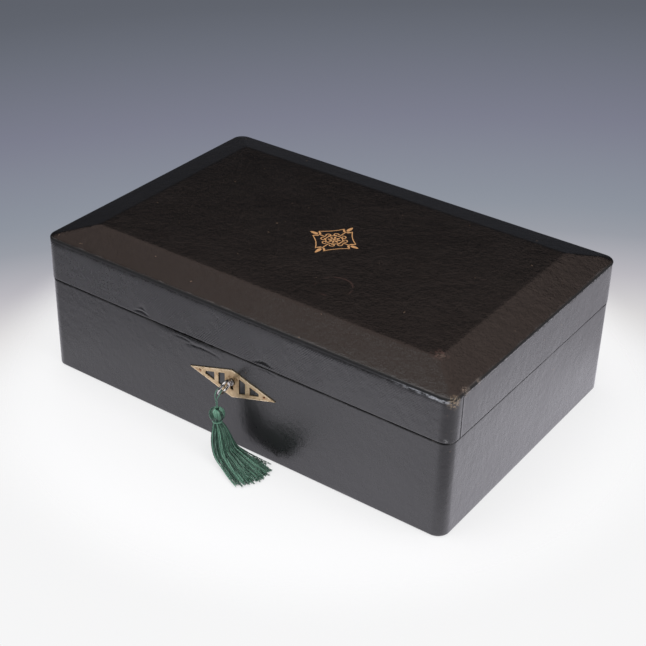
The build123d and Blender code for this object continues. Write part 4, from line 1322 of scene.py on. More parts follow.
@dataclass
class Ornament:
    """The gilt ornament in the middle of the lid: a rosette in a ring, four sprays and a lozenge line."""

    middle: Vector = field(default_factory=lambda: Vector((4.0, 0.0)))
    half_x: float = 25.0
    half_y: float = 28.0
    top: float = 136.8
    proud: float = 0.05
    thick: float = 0.12
    petals: int = 8
    ring_radius: float = 7.3
    turn_steps: int = 26
    turn_step: float = 0.24

    @staticmethod
    def _leaf(form: Form, root: Vector, length: float, width: float, angle: float, bend: float = 0.0) -> None:
        """Adds a flat pointed leaf.

        Args:
            form: The form that it is added to.
            root: Its root.
            length: Its length.
            width: Its greatest width.
            angle: Its direction in degrees.
            bend: How far its tip leans to its left.
        """
        made = bmesh.ops.create_circle(form, cap_ends=True, segments=16, radius=1.0)["verts"]
        for vert in made:
            along = (vert.co.x + 1) / 2
            side = vert.co.y * width / 2 * (1.15 - 0.6 * along)
            if along > 0.95:
                side *= 0.2
            vert.co = Vector((along * length, side + bend * along ** 2, 0))
        turn(form, angle, "Z", made)
        shift(form, (root.x, root.y, 0), made)

    @staticmethod
    def _line(form: Form, course: Sequence[Vector], width: float) -> None:
        """Adds a flat line along a course.

        Args:
            form: The form that it is added to.
            course: Its points.
            width: Its width.
        """
        last = len(course) - 1
        made = bmesh.ops.create_grid(form, x_segments=last, y_segments=1, size=1.0)["verts"]
        for vert in made:
            number = round((vert.co.x + 1) / 2 * last)
            before, after = course[max(number - 1, 0)], course[min(number + 1, last)]
            along = (after - before).normalized()
            side = math.copysign(width / 2, vert.co.y)
            vert.co = Vector((course[number].x - along.y * side, course[number].y + along.x * side, 0))

    @classmethod
    def _scroll(cls, form: Form, root: Vector, size: float, angle: float, hand: int, width: float) -> None:
        """Adds a scroll that starts at its root and curls inwards.

        Args:
            form: The form that it is added to.
            root: Where it starts.
            size: Its radius.
            angle: Its first direction in degrees.
            hand: 1 to curl left, -1 to curl right.
            width: The line's width.
        """
        place, heading = root.copy(), math.radians(angle)
        course = [place.copy()]
        for step in range(cls.turn_steps):
            radius = size * (1.0 - step / cls.turn_steps * 0.78)
            heading += hand * cls.turn_step
            place = place + direction(heading) * radius * cls.turn_step
            course.append(place.copy())
        cls._line(form, course, width)

    def _spray(self, form: Form, angle: float, reach: float) -> None:
        """Adds one of the four sprays: a stem, a leaf at its tip, two side leaves and two scrolls.

        Args:
            form: The form that it is added to.
            angle: Its direction in degrees.
            reach: How far its tip is from the middle.
        """
        out = direction(math.radians(angle))
        aside = Vector((-out.y, out.x))
        self._leaf(form, out * (reach * 0.68), reach * 0.32, 3.8, angle)
        self._line(form, [out * (8.8 + step * (reach * 0.64 - 8.8) / 6) for step in range(7)], 1.0)
        for hand in (-1, 1):
            root = out * (reach * 0.60) + aside * hand * 0.9
            self._leaf(form, root, 5.4, 2.2, angle + hand * 50, hand * -0.8)
            self._scroll(form, out * 9.4 + aside * hand * 1.4, 2.7, angle + hand * 25, hand, 0.95)

    def _lozenge(self, form: Form) -> None:
        """Adds the four hollow sides of the outer line."""
        x, y = self.half_x, self.half_y
        tips = [Vector(tip) for tip in ((x, 0), (0, y), (-x, 0), (0, -y))]
        for start, end in zip(tips, tips[1:] + tips[:1]):
            course = []
            for step in range(13):
                share = 0.17 + 0.66 * step / 12
                straight = start.lerp(end, share)
                course.append(straight * (1.0 - 0.15 * math.sin(math.pi * share)))
            self._line(form, course, 0.85)

    def build(self) -> Piece:
        """Builds the ornament and returns it."""
        form = bmesh.new()
        for number in range(self.petals):
            angle = 360 * number / self.petals + 22.5
            self._leaf(form, direction(math.radians(angle)) * 2.0, 3.9, 2.1, angle)
        bmesh.ops.create_circle(form, cap_ends=True, segments=16, radius=1.4)
        ring = [direction(math.radians(15 * step)) * self.ring_radius for step in range(25)]
        self._line(form, ring, 1.0)
        for angle, reach in ((0, self.half_x), (90, self.half_y), (180, self.half_x), (270, self.half_y)):
            self._spray(form, angle, reach)
        self._lozenge(form)
        bmesh.ops.remove_doubles(form, verts=form.verts, dist=0.001)
        for face in form.faces:
            if face.normal.z < 0:
                face.normal_flip()
        thickened(form, (0, 0, self.thick))
        bmesh.ops.recalc_face_normals(form, faces=form.faces)
        for vert in form.verts:
            place = Vector((vert.co.x + self.middle.x, vert.co.y + self.middle.y, self.top))
            place.z += LidTop.unevenness(place) + vert.co.z + self.proud - self.thick
            vert.co = place
        made = piece_of("gilt_ornament", form, GILT, "lid")
        sharpen(made, 40.0)
        return made


# The tassel

class Threads:
    """Many threads as one mesh, each with its own shade."""

    SHADE = "thread_shade"

    def __init__(self, name: str, radius: float, sides: int = 0) -> None:
        """Starts an empty bundle.

        Args:
            name: The piece's name.
            radius: The thread's radius in millimetres.
            sides: The bevel resolution of the curve.
        """
        self.curve = bpy.data.curves.new(name, "CURVE")
        self.curve.dimensions = "3D"
        self.curve.bevel_depth = radius * MM
        self.curve.bevel_resolution = sides
        self.curve.resolution_u = 2
        self.curve.use_fill_caps = True
        self.shades: list[float] = []

    def add(self, points: Sequence[Vector], shade: float, thin: float = 1.0) -> None:
        """Adds one thread.

        Args:
            points: Its course in millimetres.
            shade: Its own shade, from 0 dark to 1 light.
            thin: The thickness of its tip against its root's.
        """
        spline = self.curve.splines.new("POLY")
        spline.points.add(len(points) - 1)
        for number, point in enumerate(points):
            spline.points[number].co = (*(point * MM), 1.0)
            late = number / (len(points) - 1)
            spline.points[number].radius = 1.0 + (thin - 1.0) * late ** 3
        self.shades.append(shade)

    def mesh(self) -> bpy.types.Mesh:
        """Turns the threads into a mesh that carries their shades."""
        data = mesh_of_curve(self.curve)
        lengths = [len(spline.points) for spline in self.curve.splines]
        around = len(data.vertices) // sum(lengths)
        shade = data.attributes.new(self.SHADE, "FLOAT", "POINT")
        values = [own for own, length in zip(self.shades, lengths) for _ in range(length * around)]
        values += [self.shades[-1]] * (len(data.vertices) - len(values))
        shade.data.foreach_set("value", values)
        return data

    def piece(self) -> Piece:
        """Makes the silk piece of the threads and returns it."""
        return piece_of(self.curve.name, self.mesh(), SILK, "tassel")


@dataclass(frozen=True)
class Strand:
    """One strand of the skirt.

    Attributes:
        u: Its share across at the neck, from -1 to 1.
        v: Its share up at the neck.
        reach: How far along it ends, in sections.
        drift: How far its end has drifted across.
        lift: How far its end has drifted up.
        phase: Where its twist starts, in radians.
        slack: How loose it is against the others.
    """

    u: float
    v: float
    reach: float
    drift: float
    lift: float
    phase: float
    slack: float


@dataclass
class Tassel:
    """The key's tassel: loop, wound head, neck binding and skirt of floss."""

    hang: Vector = field(default_factory=lambda: Vector((0.0, -150.6, 62.6)))
    head: Vector = field(default_factory=lambda: Vector((-0.5, -152.8, 41.1)))
    head_radius: float = 6.4
    head_flat: float = 47.1
    head_dimple: float = 1.5
    neck_radius: float = 3.3
    crossing: int = 15
    cord: float = 1.1
    cord_length: float = 40.1
    binding_low: float = 33.6
    binding_high: float = 35.6
    binding_radius: float = 4.2
    ground: float = 0.5
    fan: float = -8.0
    loop_route: tuple[tuple[float, float, float], ...] = (
        (-1.05, -2.2, -15.5), (-1.05, -2.2, -11.4), (-1.1, -3.0, -6.6), (-2.15, -2.6, -2.2),
        (-2.15, 1.86, 1.08), (2.15, 1.86, 1.08),
        (2.15, -2.6, -2.2), (0.1, -3.0, -6.6), (0.05, -2.2, -11.4), (0.05, -2.2, -15.5),
    )
    skirt_sections: tuple[tuple[float, float, float, float, float | None], ...] = (
        (0.0, 3.6, 3.6, 0.0, 1.0), (2.4, 6.2, 6.2, 6.0, 0.85), (4.2, 8.6, 8.6, 14.0, 0.62),
        (7.0, 10.4, 9.4, 32.0, 0.39), (11.5, 12.0, 8.4, 52.0, 0.232), (18.5, 14.2, 6.2, 68.0, None),
        (30.0, 17.8, 3.4, 84.0, None), (42.0, 20.6, 1.9, 90.0, None), (51.5, 22.0, 1.1, 90.0, None),
    )
    strands: int = 140
    plies: int = 4
    strand_steps: int = 26
    strand_radius: float = 0.34
    strand_turns: float = 5.5
    strays: float = 0.08
    widest: float = 0.97
    thread: float = 0.26

    def _loop_course(self) -> list[Vector]:
        """The loop's centre line in millimetres, read from its spline."""
        curve = bpy.data.curves.new("loop_course", "CURVE")
        curve.dimensions = "3D"
        curve.resolution_u = 8
        spline = curve.splines.new("NURBS")
        spline.points.add(len(self.loop_route) - 1)
        for point, offset in zip(spline.points, self.loop_route):
            point.co = (*((self.hang + Vector(offset)) * MM), 1.0)
        spline.order_u = 3
        spline.use_endpoint_u = True
        return [vert.co / MM for vert in mesh_of_curve(curve).vertices]

    @staticmethod
    def _twist(course: Sequence[Vector], radius: float, pitch: float, phase: float) -> list[Vector]:
        """A ply that winds round a course.

        Args:
            course: The course.
            radius: The ply's distance from it.
            pitch: The length of one turn.
            phase: Where the ply starts, in degrees.

        Returns:
            The ply's course.
        """
        points = []
        walked = 0.0
        side = Vector((1, 0, 0))
        for number, point in enumerate(course):
            before = course[max(number - 1, 0)]
            after = course[min(number + 1, len(course) - 1)]
            along = (after - before).normalized()
            side = (side - along * side.dot(along)).normalized()
            walked += (point - course[max(number - 1, 0)]).length
            turn = math.radians(phase) + 2 * math.pi * walked / pitch
            points.append(point + side * radius * math.cos(turn) + along.cross(side) * radius * math.sin(turn))
        return points

    def build_loop(self) -> Piece:
        """Builds the loop of two twisted plies and returns it."""
        course = self._loop_course()
        ply = self.cord / 4
        threads = Threads("tassel_cord", ply * 1.06, 2)
        for phase in (0.0, 180.0):
            threads.add(self._twist(course, ply * 0.94, 3.0, phase), 0.62 if phase else 0.5)
        made = threads.piece()
        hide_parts("tassel_loop")
        return made

    def _on_head(self, radius: float, polar: float, turn: float, sunk: float = 0.0) -> Vector:
        """A point on or over the head's ball.

        Args:
            radius: Its distance from the ball's middle.
            polar: Its angle from the top, in radians.
            turn: Its angle round the head, in radians.
            sunk: How far it is sunk below the ball and its flat top.

        Returns:
            The point.
        """
        aside = direction(turn) * radius * math.sin(polar)
        height = min(self.head.z + radius * math.cos(polar), self.head_flat - 0.1) - sunk
        return Vector((self.head.x + aside.x, self.head.y + aside.y, height))

    def _folded_threads(self, threads: Threads, rng: random.Random) -> None:
        """Adds the threads folded down from the head's top to the neck, in two layers."""
        for layer, count in ((0.0, 84), (0.28, 70)):
            for number in range(count):
                start = 2 * math.pi * (number + rng.random() * 0.7) / count
                pulled = 0.55 if -2.9 < start - math.pi * 1.25 < -0.9 else 0.0
                lean = math.radians(18 + rng.uniform(-4, 4)) + pulled
                radius = self.head_radius - 0.35 + layer + rng.uniform(-0.12, 0.1)
                points = []
                for step in range(15):
                    share = step / 14
                    turn = start + lean * share
                    dip = self.head_dimple * max(0.0, 1.0 - share * 3.2)
                    sunk = dip * (0.6 + 0.4 * math.cos(2 * turn + 1.0))
                    points.append(self._on_head(radius, math.radians(17 + 128 * share), turn, sunk))
                neck = direction(start + lean) * self.neck_radius
                points.append(Vector((self.head.x + neck.x, self.head.y + neck.y, self.binding_low + 0.6)))
                threads.add(points, 0.30 + 0.6 * rng.random())

    def _crossing_threads(self, threads: Threads, rng: random.Random) -> None:
        """Adds the band of threads that crosses the head's front, its two edge threads painted dark as the
        shade of the clefts beside it.
        """
        for number in range(self.crossing):
            points = []
            for step in range(17):
                share = step / 16
                radius = self.head_radius + 0.05 * math.sin(math.pi * share) - 0.02 * (number % 3)
                turn = math.radians(-172 + 3.6 * number + 96 * share)
                points.append(self._on_head(radius, math.radians(24 + 104 * share), turn))
            # Painted shade: the band's first and last threads are nearly black, for the clefts at its edges.
            threads.add(points, 0.05 if number in (0, self.crossing - 1) else 0.55 + 0.45 * rng.random())

    def build_head(self, rng: random.Random) -> Piece:
        """Builds the head's threads over their ball, which is painted darkest as shade, and returns them."""
        threads = Threads("tassel_head_threads", 0.27)
        self._folded_threads(threads, rng)
        self._crossing_threads(threads, rng)
        made = threads.piece()
        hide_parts("tassel_head")
        ball = bmesh.new()
        bmesh.ops.create_uvsphere(ball, u_segments=32, v_segments=20, radius=self.head_radius - 0.6)
        bmesh.ops.scale(ball, vec=(1.0, 1.0, 0.84), verts=ball.verts)
        shift(ball, self.head - Vector((0, 0, 0.9)))
        core = piece_of("tassel_ball", ball, SILK, "tassel")
        # Painted shade: the ball under the threads takes the darkest green, so that it reads as shade where it
        # shows between them.
        shade = core.data.attributes.new(Threads.SHADE, "FLOAT", "POINT")
        shade.data.foreach_set("value", [0.0] * len(core.data.vertices))
        return made

    def build_binding(self) -> Piece:
        """Builds the neck's binding, a thread wound 4.4 times, and returns it."""
        threads = Threads("tassel_neck_thread", 0.24, 1)
        turns, steps = 4.4, 40
        radius = self.binding_radius - 0.24
        points = []
        for step in range(int(turns * steps) + 1):
            aside = direction(2 * math.pi * step / steps) * radius
            share = step / (turns * steps)
            height = self.binding_low + 0.26 + (self.binding_high - self.binding_low - 0.52) * share
            points.append(Vector((self.head.x + aside.x, self.head.y + aside.y, height)))
        threads.add(points, 0.95)
        made = threads.piece()
        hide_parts("tassel_binding")
        return made

    def _section_frames(self) -> list[tuple[Vector, Vector, Vector, float, float]]:
        """Each skirt section's centre, its axes across and up, and its half sizes."""
        fan = math.radians(self.fan)
        ahead = Vector((math.cos(fan), math.sin(fan), 0))
        across = Vector((-ahead.y, ahead.x, 0))
        frames = []
        for along, wide, tall, lean, share in self.skirt_sections:
            tilt = math.radians(lean)
            rise = tall * math.sin(tilt) if share is None else share * (self.binding_low - self.ground)
            centre = Vector((self.head.x, self.head.y, self.ground + rise)) + ahead * along
            down = Vector((ahead.x * math.sin(tilt), ahead.y * math.sin(tilt), -math.cos(tilt)))
            frames.append((centre, across, down.cross(across), wide, tall))
        return frames

    @staticmethod
    def _between(values: Sequence[Vector | float], place: float) -> Vector | float:
        """Smooth value between the sections, by Catmull and Rom's rule."""
        last = len(values) - 1
        number = min(int(place), last - 1)
        t = place - number
        p0, p1 = values[max(number - 1, 0)], values[number]
        p2, p3 = values[number + 1], values[min(number + 2, last)]
        curved = (p0 * 2 - p1 * 5 + p2 * 4 - p3) * t * t + (p1 * 3 - p0 - p2 * 3 + p3) * t ** 3
        return (p1 * 2 + (p2 - p0) * t + curved) * 0.5

    def _skirt_point(self, frames: Sequence, u: float, v: float, place: float) -> Vector:
        """The place in the skirt of a thread that keeps its share across and up.

        Args:
            frames: The sections.
            u: The share across, from -1 to 1.
            v: The share up, from -1 to 1.
            place: How far along, in sections.

        Returns:
            The point.
        """
        parts = [self._between([own[part] for own in frames], place) for part in range(5)]
        return parts[0] + parts[1] * (u * parts[3]) + parts[2] * (v * parts[4])

    def _ply(self, frames: Sequence, strand: Strand, ply: int) -> list[Vector]:
        """The course of one ply of a strand of the skirt.

        Args:
            frames: The sections.
            strand: The strand.
            ply: The ply's number.

        Returns:
            Its points.
        """
        points = []
        for step in range(self.strand_steps + 1):
            share = step / self.strand_steps
            u = strand.u + strand.drift * share ** 2
            v = strand.v + strand.lift * share ** 2
            size = math.hypot(u, v)
            if size > self.widest:
                u, v = u * self.widest / size, v * self.widest / size
            place = strand.reach * share
            _, across, up, _, _ = frames[min(int(place), len(frames) - 1)]
            turn = strand.phase + 2 * math.pi * (ply / self.plies + share * self.strand_turns)
            wide = self.strand_radius * strand.slack * (0.55 + 0.6 * share ** 0.5) * (1.0 + 0.5 * share ** 6)
            point = self._skirt_point(frames, u, v, place)
            point += across * (wide * math.cos(turn)) + up * (wide * math.sin(turn))
            point.z = max(point.z, self.thread + 0.05)
            points.append(point)
        return points

    def build_skirt(self, rng: random.Random) -> Piece:
        """Builds the skirt's twisted strands of floss, the inner ones painted darker as shade, and returns
        them.
        """
        frames = self._section_frames()
        threads = Threads("tassel_skirt_threads", self.thread)
        golden = math.pi * (3 - math.sqrt(5))
        for number in range(self.strands):
            radius = math.sqrt((number + 0.5) / self.strands) ** 0.72
            # Painted shade: strands nearer the middle of the skirt are darker, standing in for the shade among
            # the threads.
            shade = rng.uniform(0.05, 0.95) * (0.45 + 0.55 * radius ** 2)
            start = direction(number * golden) * radius * rng.uniform(0.84, 1.0)
            spread = 0.30 if rng.random() < self.strays else 0.12
            strand = Strand(
                u=start.x, v=start.y,
                reach=(len(frames) - 1) * (1.0 - 0.08 * abs(start.x) ** 2) * rng.uniform(0.86, 0.985),
                drift=rng.uniform(-spread, spread),
                lift=rng.uniform(-0.14, 0.16),
                phase=rng.uniform(0, 2 * math.pi),
                slack=rng.uniform(0.8, 1.15),
            )
            for ply in range(self.plies):
                points = self._ply(frames, strand, ply)
                threads.add(points, min(1.0, max(0.0, shade + rng.uniform(-0.12, 0.12))), 0.6)
        made = threads.piece()
        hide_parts("tassel_skirt")
        return made


# The studio

# The backdrop's colour by the angle above the horizon, in degrees.
BACKDROP = (
    (-90, (0.955, 0.955, 0.960)), (-35.5, (0.910, 0.910, 0.915)), (-33.0, (0.860, 0.860, 0.866)),
    (-31.2, (0.716, 0.701, 0.701)), (-29.5, (0.491, 0.479, 0.515)), (-27.9, (0.314, 0.332, 0.376)),
    (-26.8, (0.266, 0.292, 0.342)), (-23.6, (0.202, 0.209, 0.270)), (-20.5, (0.144, 0.156, 0.191)),
    (-19, (0.117, 0.127, 0.153)), (-10, (0.070, 0.074, 0.088)), (12, (0.052, 0.052, 0.058)),
    (26, (0.018, 0.018, 0.020)), (32.5, (0.030, 0.028, 0.030)), (35.5, (0.20, 0.155, 0.14)),
    (38.5, (0.74, 0.56, 0.50)), (50, (0.84, 0.635, 0.567)), (70, (0.55, 0.45, 0.40)), (90, (0.40, 0.35, 0.33)),
)
WHITE = (0.93, 0.93, 0.935)
# What the leather mirrors: the warm ceiling, the dark gap before it, and the table at the side and ahead.
CEILING, GAP = (1.0, 0.76, 0.67), (0.030, 0.030, 0.032)
TABLE_ASIDE, TABLE_AHEAD = (1.13, 1.10, 1.20), (1.62, 1.58, 1.72)
# The plain light that falls on the box from all round.
AMBIENT = (0.62, 0.62, 0.63)


@dataclass
class Studio:
    """Camera, lamps, backdrop and table."""

    azimuth: float = 34.813
    elevation: float = 31.814
    roll: float = 1.557
    distance: float = 1241.64
    target: Vector = field(default_factory=lambda: Vector((-5.17, 0.0, 50.53)))
    lens: float = 78.66
    sensor: float = 36.0
    table_solid: float = 240.0
    table_end: float = 330.0
    table_drop: float = 0.03
    table_glow: float = 0.648

    def build_camera(self) -> None:
        """Sets the camera at the photograph's place."""
        az, el, roll = (math.radians(angle) for angle in (self.azimuth, self.elevation, self.roll))
        back = Vector((math.sin(az) * math.cos(el), -math.cos(az) * math.cos(el), math.sin(el)))
        right = Vector((math.cos(az), math.sin(az), 0))
        up = back.cross(right)
        turned_right = right * math.cos(roll) + up * math.sin(roll)
        turned_up = up * math.cos(roll) - right * math.sin(roll)
        eye = (self.target + back * self.distance) * MM
        data = bpy.data.cameras.new("camera")
        data.lens = self.lens
        data.sensor_width = self.sensor
        data.clip_start = 0.05
        data.clip_end = 50.0
        camera = placed("camera", data)
        facing = Matrix((turned_right, turned_up, back)).transposed().to_4x4()
        camera.matrix_world = Matrix.Translation(eye) @ facing
        bpy.context.scene.camera = camera

    @staticmethod
    def _lamp(name: str, place: Vector, size: tuple[float, float], power: float, aim: Vector) -> None:
        """Adds a softbox.

        Args:
            name: Its name.
            place: Its middle, in metres.
            size: Its width and height in metres.
            power: Its power in watts.
            aim: The point that it faces.
        """
        data = bpy.data.lights.new(name, "AREA")
        data.shape = "RECTANGLE"
        data.size, data.size_y = size
        data.energy = power
        lamp = placed(name, data)
        facing = (aim - place).to_track_quat("-Z", "Y").to_matrix().to_4x4()
        lamp.matrix_world = Matrix.Translation(place) @ facing
        lamp.visible_camera = False

    def build_lamps(self) -> None:
        """Hangs the softboxes."""
        for name, place, size, power in (
                ("top_softbox", (-0.05, -0.35, 1.85), (1.7, 1.3), 21.0),
                ("front_softbox", (-0.9, -1.6, 0.95), (1.2, 0.9), 5.0),
                ("right_softbox", (1.5, 0.1, 1.0), (1.2, 0.9), 12.0)):
            self._lamp(name, Vector(place), size, power, Vector((0, 0, 0.06)))

    def build_world(self) -> None:
        """Paints the backdrop: white below and in front, slate by the horizon, warm overhead."""
        world = bpy.data.worlds.new("backdrop")
        world.use_nodes = True
        world.cycles.sampling_method = "NONE"
        bpy.context.scene.world = world
        kit = NodeKit(world.node_tree)
        way = kit.node("ShaderNodeTexCoord")[0]
        across, back, _ = kit.node("ShaderNodeSeparateXYZ", inputs={0: way})
        tilted = {0: way, 1: (-0.041, -0.029, 1.0)}
        height = kit.node("ShaderNodeVectorMath", {"operation": "DOT_PRODUCT"}, tilted)[0]
        share = height * 0.5 + 0.5
        ramp = [((math.sin(math.radians(angle)) + 1) / 2, colour) for angle, colour in BACKDROP]
        seen = kit.node("ShaderNodeValToRGB", {"stops": ramp}, {0: share})[0]
        seen = kit.mix(height.step(0.54, 0.60) * across.step(-0.42, -0.20) * 0.8, seen, CEILING)
        seen = kit.mix(height.step(0.42, 0.52) * back.step(0.27, 0.12), seen, GAP)
        path = kit.node("ShaderNodeLightPath")
        direct = (path[0] + path[3] + path[6]).least(1.0)
        lit = kit.mix(direct, AMBIENT, seen)
        front = across.step(-0.65, -0.40) * across.step(0.10, -0.20)
        below = kit.mix(front, TABLE_ASIDE, TABLE_AHEAD)
        lit = kit.mix(path[3] * height.step(-0.36, -0.47), lit, below)
        lit = kit.mix(path[0] * back.step(0.40, 0.0), lit, WHITE)
        shader = kit.node("ShaderNodeBackground", inputs={"Color": lit, "Strength": 1.0})[0]
        kit.node("ShaderNodeOutputWorld", inputs={"Surface": shader})

    def build_table(self) -> None:
        """Lays the white table, which fades into the backdrop and, to glossy rays, glows unevenly as a painted
        reflection in the leather.
        """
        form = bmesh.new()
        bmesh.ops.create_circle(form, cap_ends=True, cap_tris=True, segments=96, radius=self.table_end + 30.0)
        shift(form, (0, 0, -self.table_drop))
        table = placed("table", mesh_of("table", form))
        made = bpy.data.materials.new("table")
        made.use_nodes = True
        made.cycles.emission_sampling = "NONE"
        kit = NodeKit(made.node_tree)
        x, y, _ = kit.axes()
        far = (x ** 2.0 + y ** 2.0).math("SQRT")
        solid = far.step(self.table_end * MM, self.table_solid * MM)
        path = kit.node("ShaderNodeLightPath")
        # Painted reflection: to glossy rays the table glows brighter towards the right and the front, and
        # bluer, so that the leather's sides mirror more light there.
        bright = x.step(-0.20, 0.10) * 0.20 + x.step(0.02, 0.14) * 0.22 - x.step(0.22, 0.30) * 0.10 + 0.98
        bright = bright + y.step(-0.205, -0.250) * (x.step(-0.20, 0.10) * 0.38 + 0.06)
        strength = path[0] * self.table_glow + (path[3] + path[6]) * bright
        tint = kit.mix(path[0], (1.0, 0.975, 1.075), (1.0, 1.0, 1.005))
        matt = kit.node("ShaderNodeBsdfDiffuse", inputs={"Color": (0.26, 0.26, 0.262, 1.0)})[0]
        glow = kit.node("ShaderNodeEmission", inputs={"Color": tint, "Strength": strength})[0]
        paper = kit.node("ShaderNodeAddShader", inputs={0: matt, 1: glow})[0]
        clear = kit.node("ShaderNodeBsdfTransparent")[0]
        shader = kit.node("ShaderNodeMixShader", inputs={0: solid, 1: clear, 2: paper})[0]
        kit.node("ShaderNodeOutputMaterial", inputs={"Surface": shader})
        table.data.materials.append(made)

    def build(self) -> None:
        """Sets up the whole studio."""
        self.build_camera()
        self.build_lamps()
        self.build_world()
        self.build_table()
        bpy.context.scene.view_settings.view_transform = "Standard"


@dataclass
class Fittings:
    """The metalwork and the plain wooden parts, as the CAD model has them."""

    finishes: dict[str, Finish] = field(default_factory=lambda: {
        **dict.fromkeys(("lock_plate", "lock_cap", "link_plate", "lever_one", "lever_two"), LOCK_BRASS),
        **dict.fromkeys(("hinge_body_leaves", "hinge_lid_leaves"), HINGE_BRASS),
        **dict.fromkeys(("lock_bolt", "lever_springs", "lock_screws", "link_plate_screws"), STEEL),
        **dict.fromkeys(("hinge_pins", "hinge_body_screws", "hinge_lid_screws"), STEEL),
        **dict.fromkeys(("key_shank", "key_bow"), NICKEL),
        "escutcheon_pins": PIN_BRASS, "base_cover": BASE_CLOTH,
    })

    plate_half_x: float = 44.0
    plate_half_z: float = 13.25
    plate_drop: float = 3.76
    plate_face: float = -134.4
    plate_back: float = -133.5
    plate_middle: float = 60.8
    plate_chamfer: float = 0.2
    piercings: tuple[tuple[float, float], ...] = ((-27.5, -18.1), (-13.7, -7.2), (7.2, 13.7), (18.1, 27.5))
    bow_middle: Vector = field(default_factory=lambda: Vector((0.0, -143.7, 62.6)))
    bow_radius: float = 6.9
    bow_thick: float = 0.85
    bow_wide: float = 1.25
    neck_root: float = 1.3
    neck_tip: float = 1.05
    neck_length: float = 3.4
    key_angle: float = 70.0

    def dress(self) -> None:
        """Puts each finish on its CAD node: wood on boards and rails."""
        for name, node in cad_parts.items():
            if name.endswith(("_board", "_rail")):
                PINE.dress(node)
            elif name in self.finishes:
                self.finishes[name].dress(node)

    def _piercing(self, left: float, right: float) -> Form:
        """The cutter of one opening of the escutcheon, between two uprights."""
        reach = (self.plate_half_z - self.plate_drop) * self.plate_half_x / self.plate_half_z
        form = bmesh.new()
        bmesh.ops.create_grid(form, x_segments=1, y_segments=1, size=1.0)
        for vert in form.verts:
            x = right if vert.co.x > 0 else left
            tall = (self.plate_half_z - self.plate_drop) * (1.0 - abs(x) / reach)
            vert.co = Vector((x, math.copysign(tall, vert.co.y), 0))
        prism(form, self.plate_face - 2.0, self.plate_back + 2.0, self.plate_middle)
        upright = [edge for edge in form.edges if abs(edge.verts[0].co.y - edge.verts[1].co.y) > 1.0]
        bevelled(form, upright, 0.5, 3)
        return form

    def build_escutcheon(self, keyhole: Form) -> Piece:
        """Builds the pierced escutcheon and returns it.

        Args:
            keyhole: The keyhole's cutter.

        Returns:
            The escutcheon.
        """
        form = bmesh.new()
        bmesh.ops.create_circle(form, cap_ends=True, segments=4, radius=1.0)
        bmesh.ops.scale(form, vec=(self.plate_half_x, self.plate_half_z, 1.0), verts=form.verts)
        prism(form, self.plate_face, self.plate_back, self.plate_middle)
        made = piece_of("pierced_plate", form, ESCUTCHEON_BRASS, "box")
        cut(made, [keyhole, *[self._piercing(left, right) for left, right in self.piercings]], ESCUTCHEON_BRASS)
        form = bmesh.new()
        form.from_mesh(made.data)
        bmesh.ops.remove_doubles(form, verts=form.verts, dist=0.01 * MM)
        face = (self.plate_face + 0.01) * MM
        rims = [edge for edge in sharp_edges(form, 0.8) if all(vert.co.y < face for vert in edge.verts)]
        bevelled(form, rims, self.plate_chamfer * MM, 1)
        form.to_mesh(made.data)
        form.free()
        for polygon in made.data.polygons:
            polygon.use_smooth = False
        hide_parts("escutcheon")
        return made

    def build_bow(self) -> Piece:
        """Builds the key's bow, a ring of flattened section with its neck, and returns it."""
        form = bmesh.new()
        section = bmesh.ops.create_circle(form, segments=14, radius=1.0)["verts"]
        for vert in section:
            vert.co = Vector((self.bow_radius + vert.co.x * self.bow_thick, 0, vert.co.y * self.bow_wide))
        bmesh.ops.spin(form, geom=list(form.verts) + list(form.edges), cent=(0, 0, 0), axis=(0, 0, 1),
                       angle=2 * math.pi, steps=56, use_merge=True)
        neck = bmesh.ops.create_cone(form, cap_ends=True, segments=20, radius1=self.neck_root,
                                     radius2=self.neck_tip, depth=self.neck_length)["verts"]
        turn(form, 90, "Y", neck)
        shift(form, (self.bow_radius + 0.35, 0, 0), neck)
        bmesh.ops.recalc_face_normals(form, faces=form.faces)
        lean = math.radians(self.key_angle)
        bow = Matrix(((0, math.cos(lean), math.sin(lean)), (1, 0, 0), (0, math.sin(lean), -math.cos(lean))))
        bmesh.ops.transform(form, matrix=bow.to_4x4(), verts=form.verts)
        bmesh.ops.recalc_face_normals(form, faces=form.faces)
        shift(form, self.bow_middle)
        made = piece_of("key_ring_bow", form, NICKEL, "key")
        sharpen(made, 50.0)
        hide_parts("key_bow")
        return made


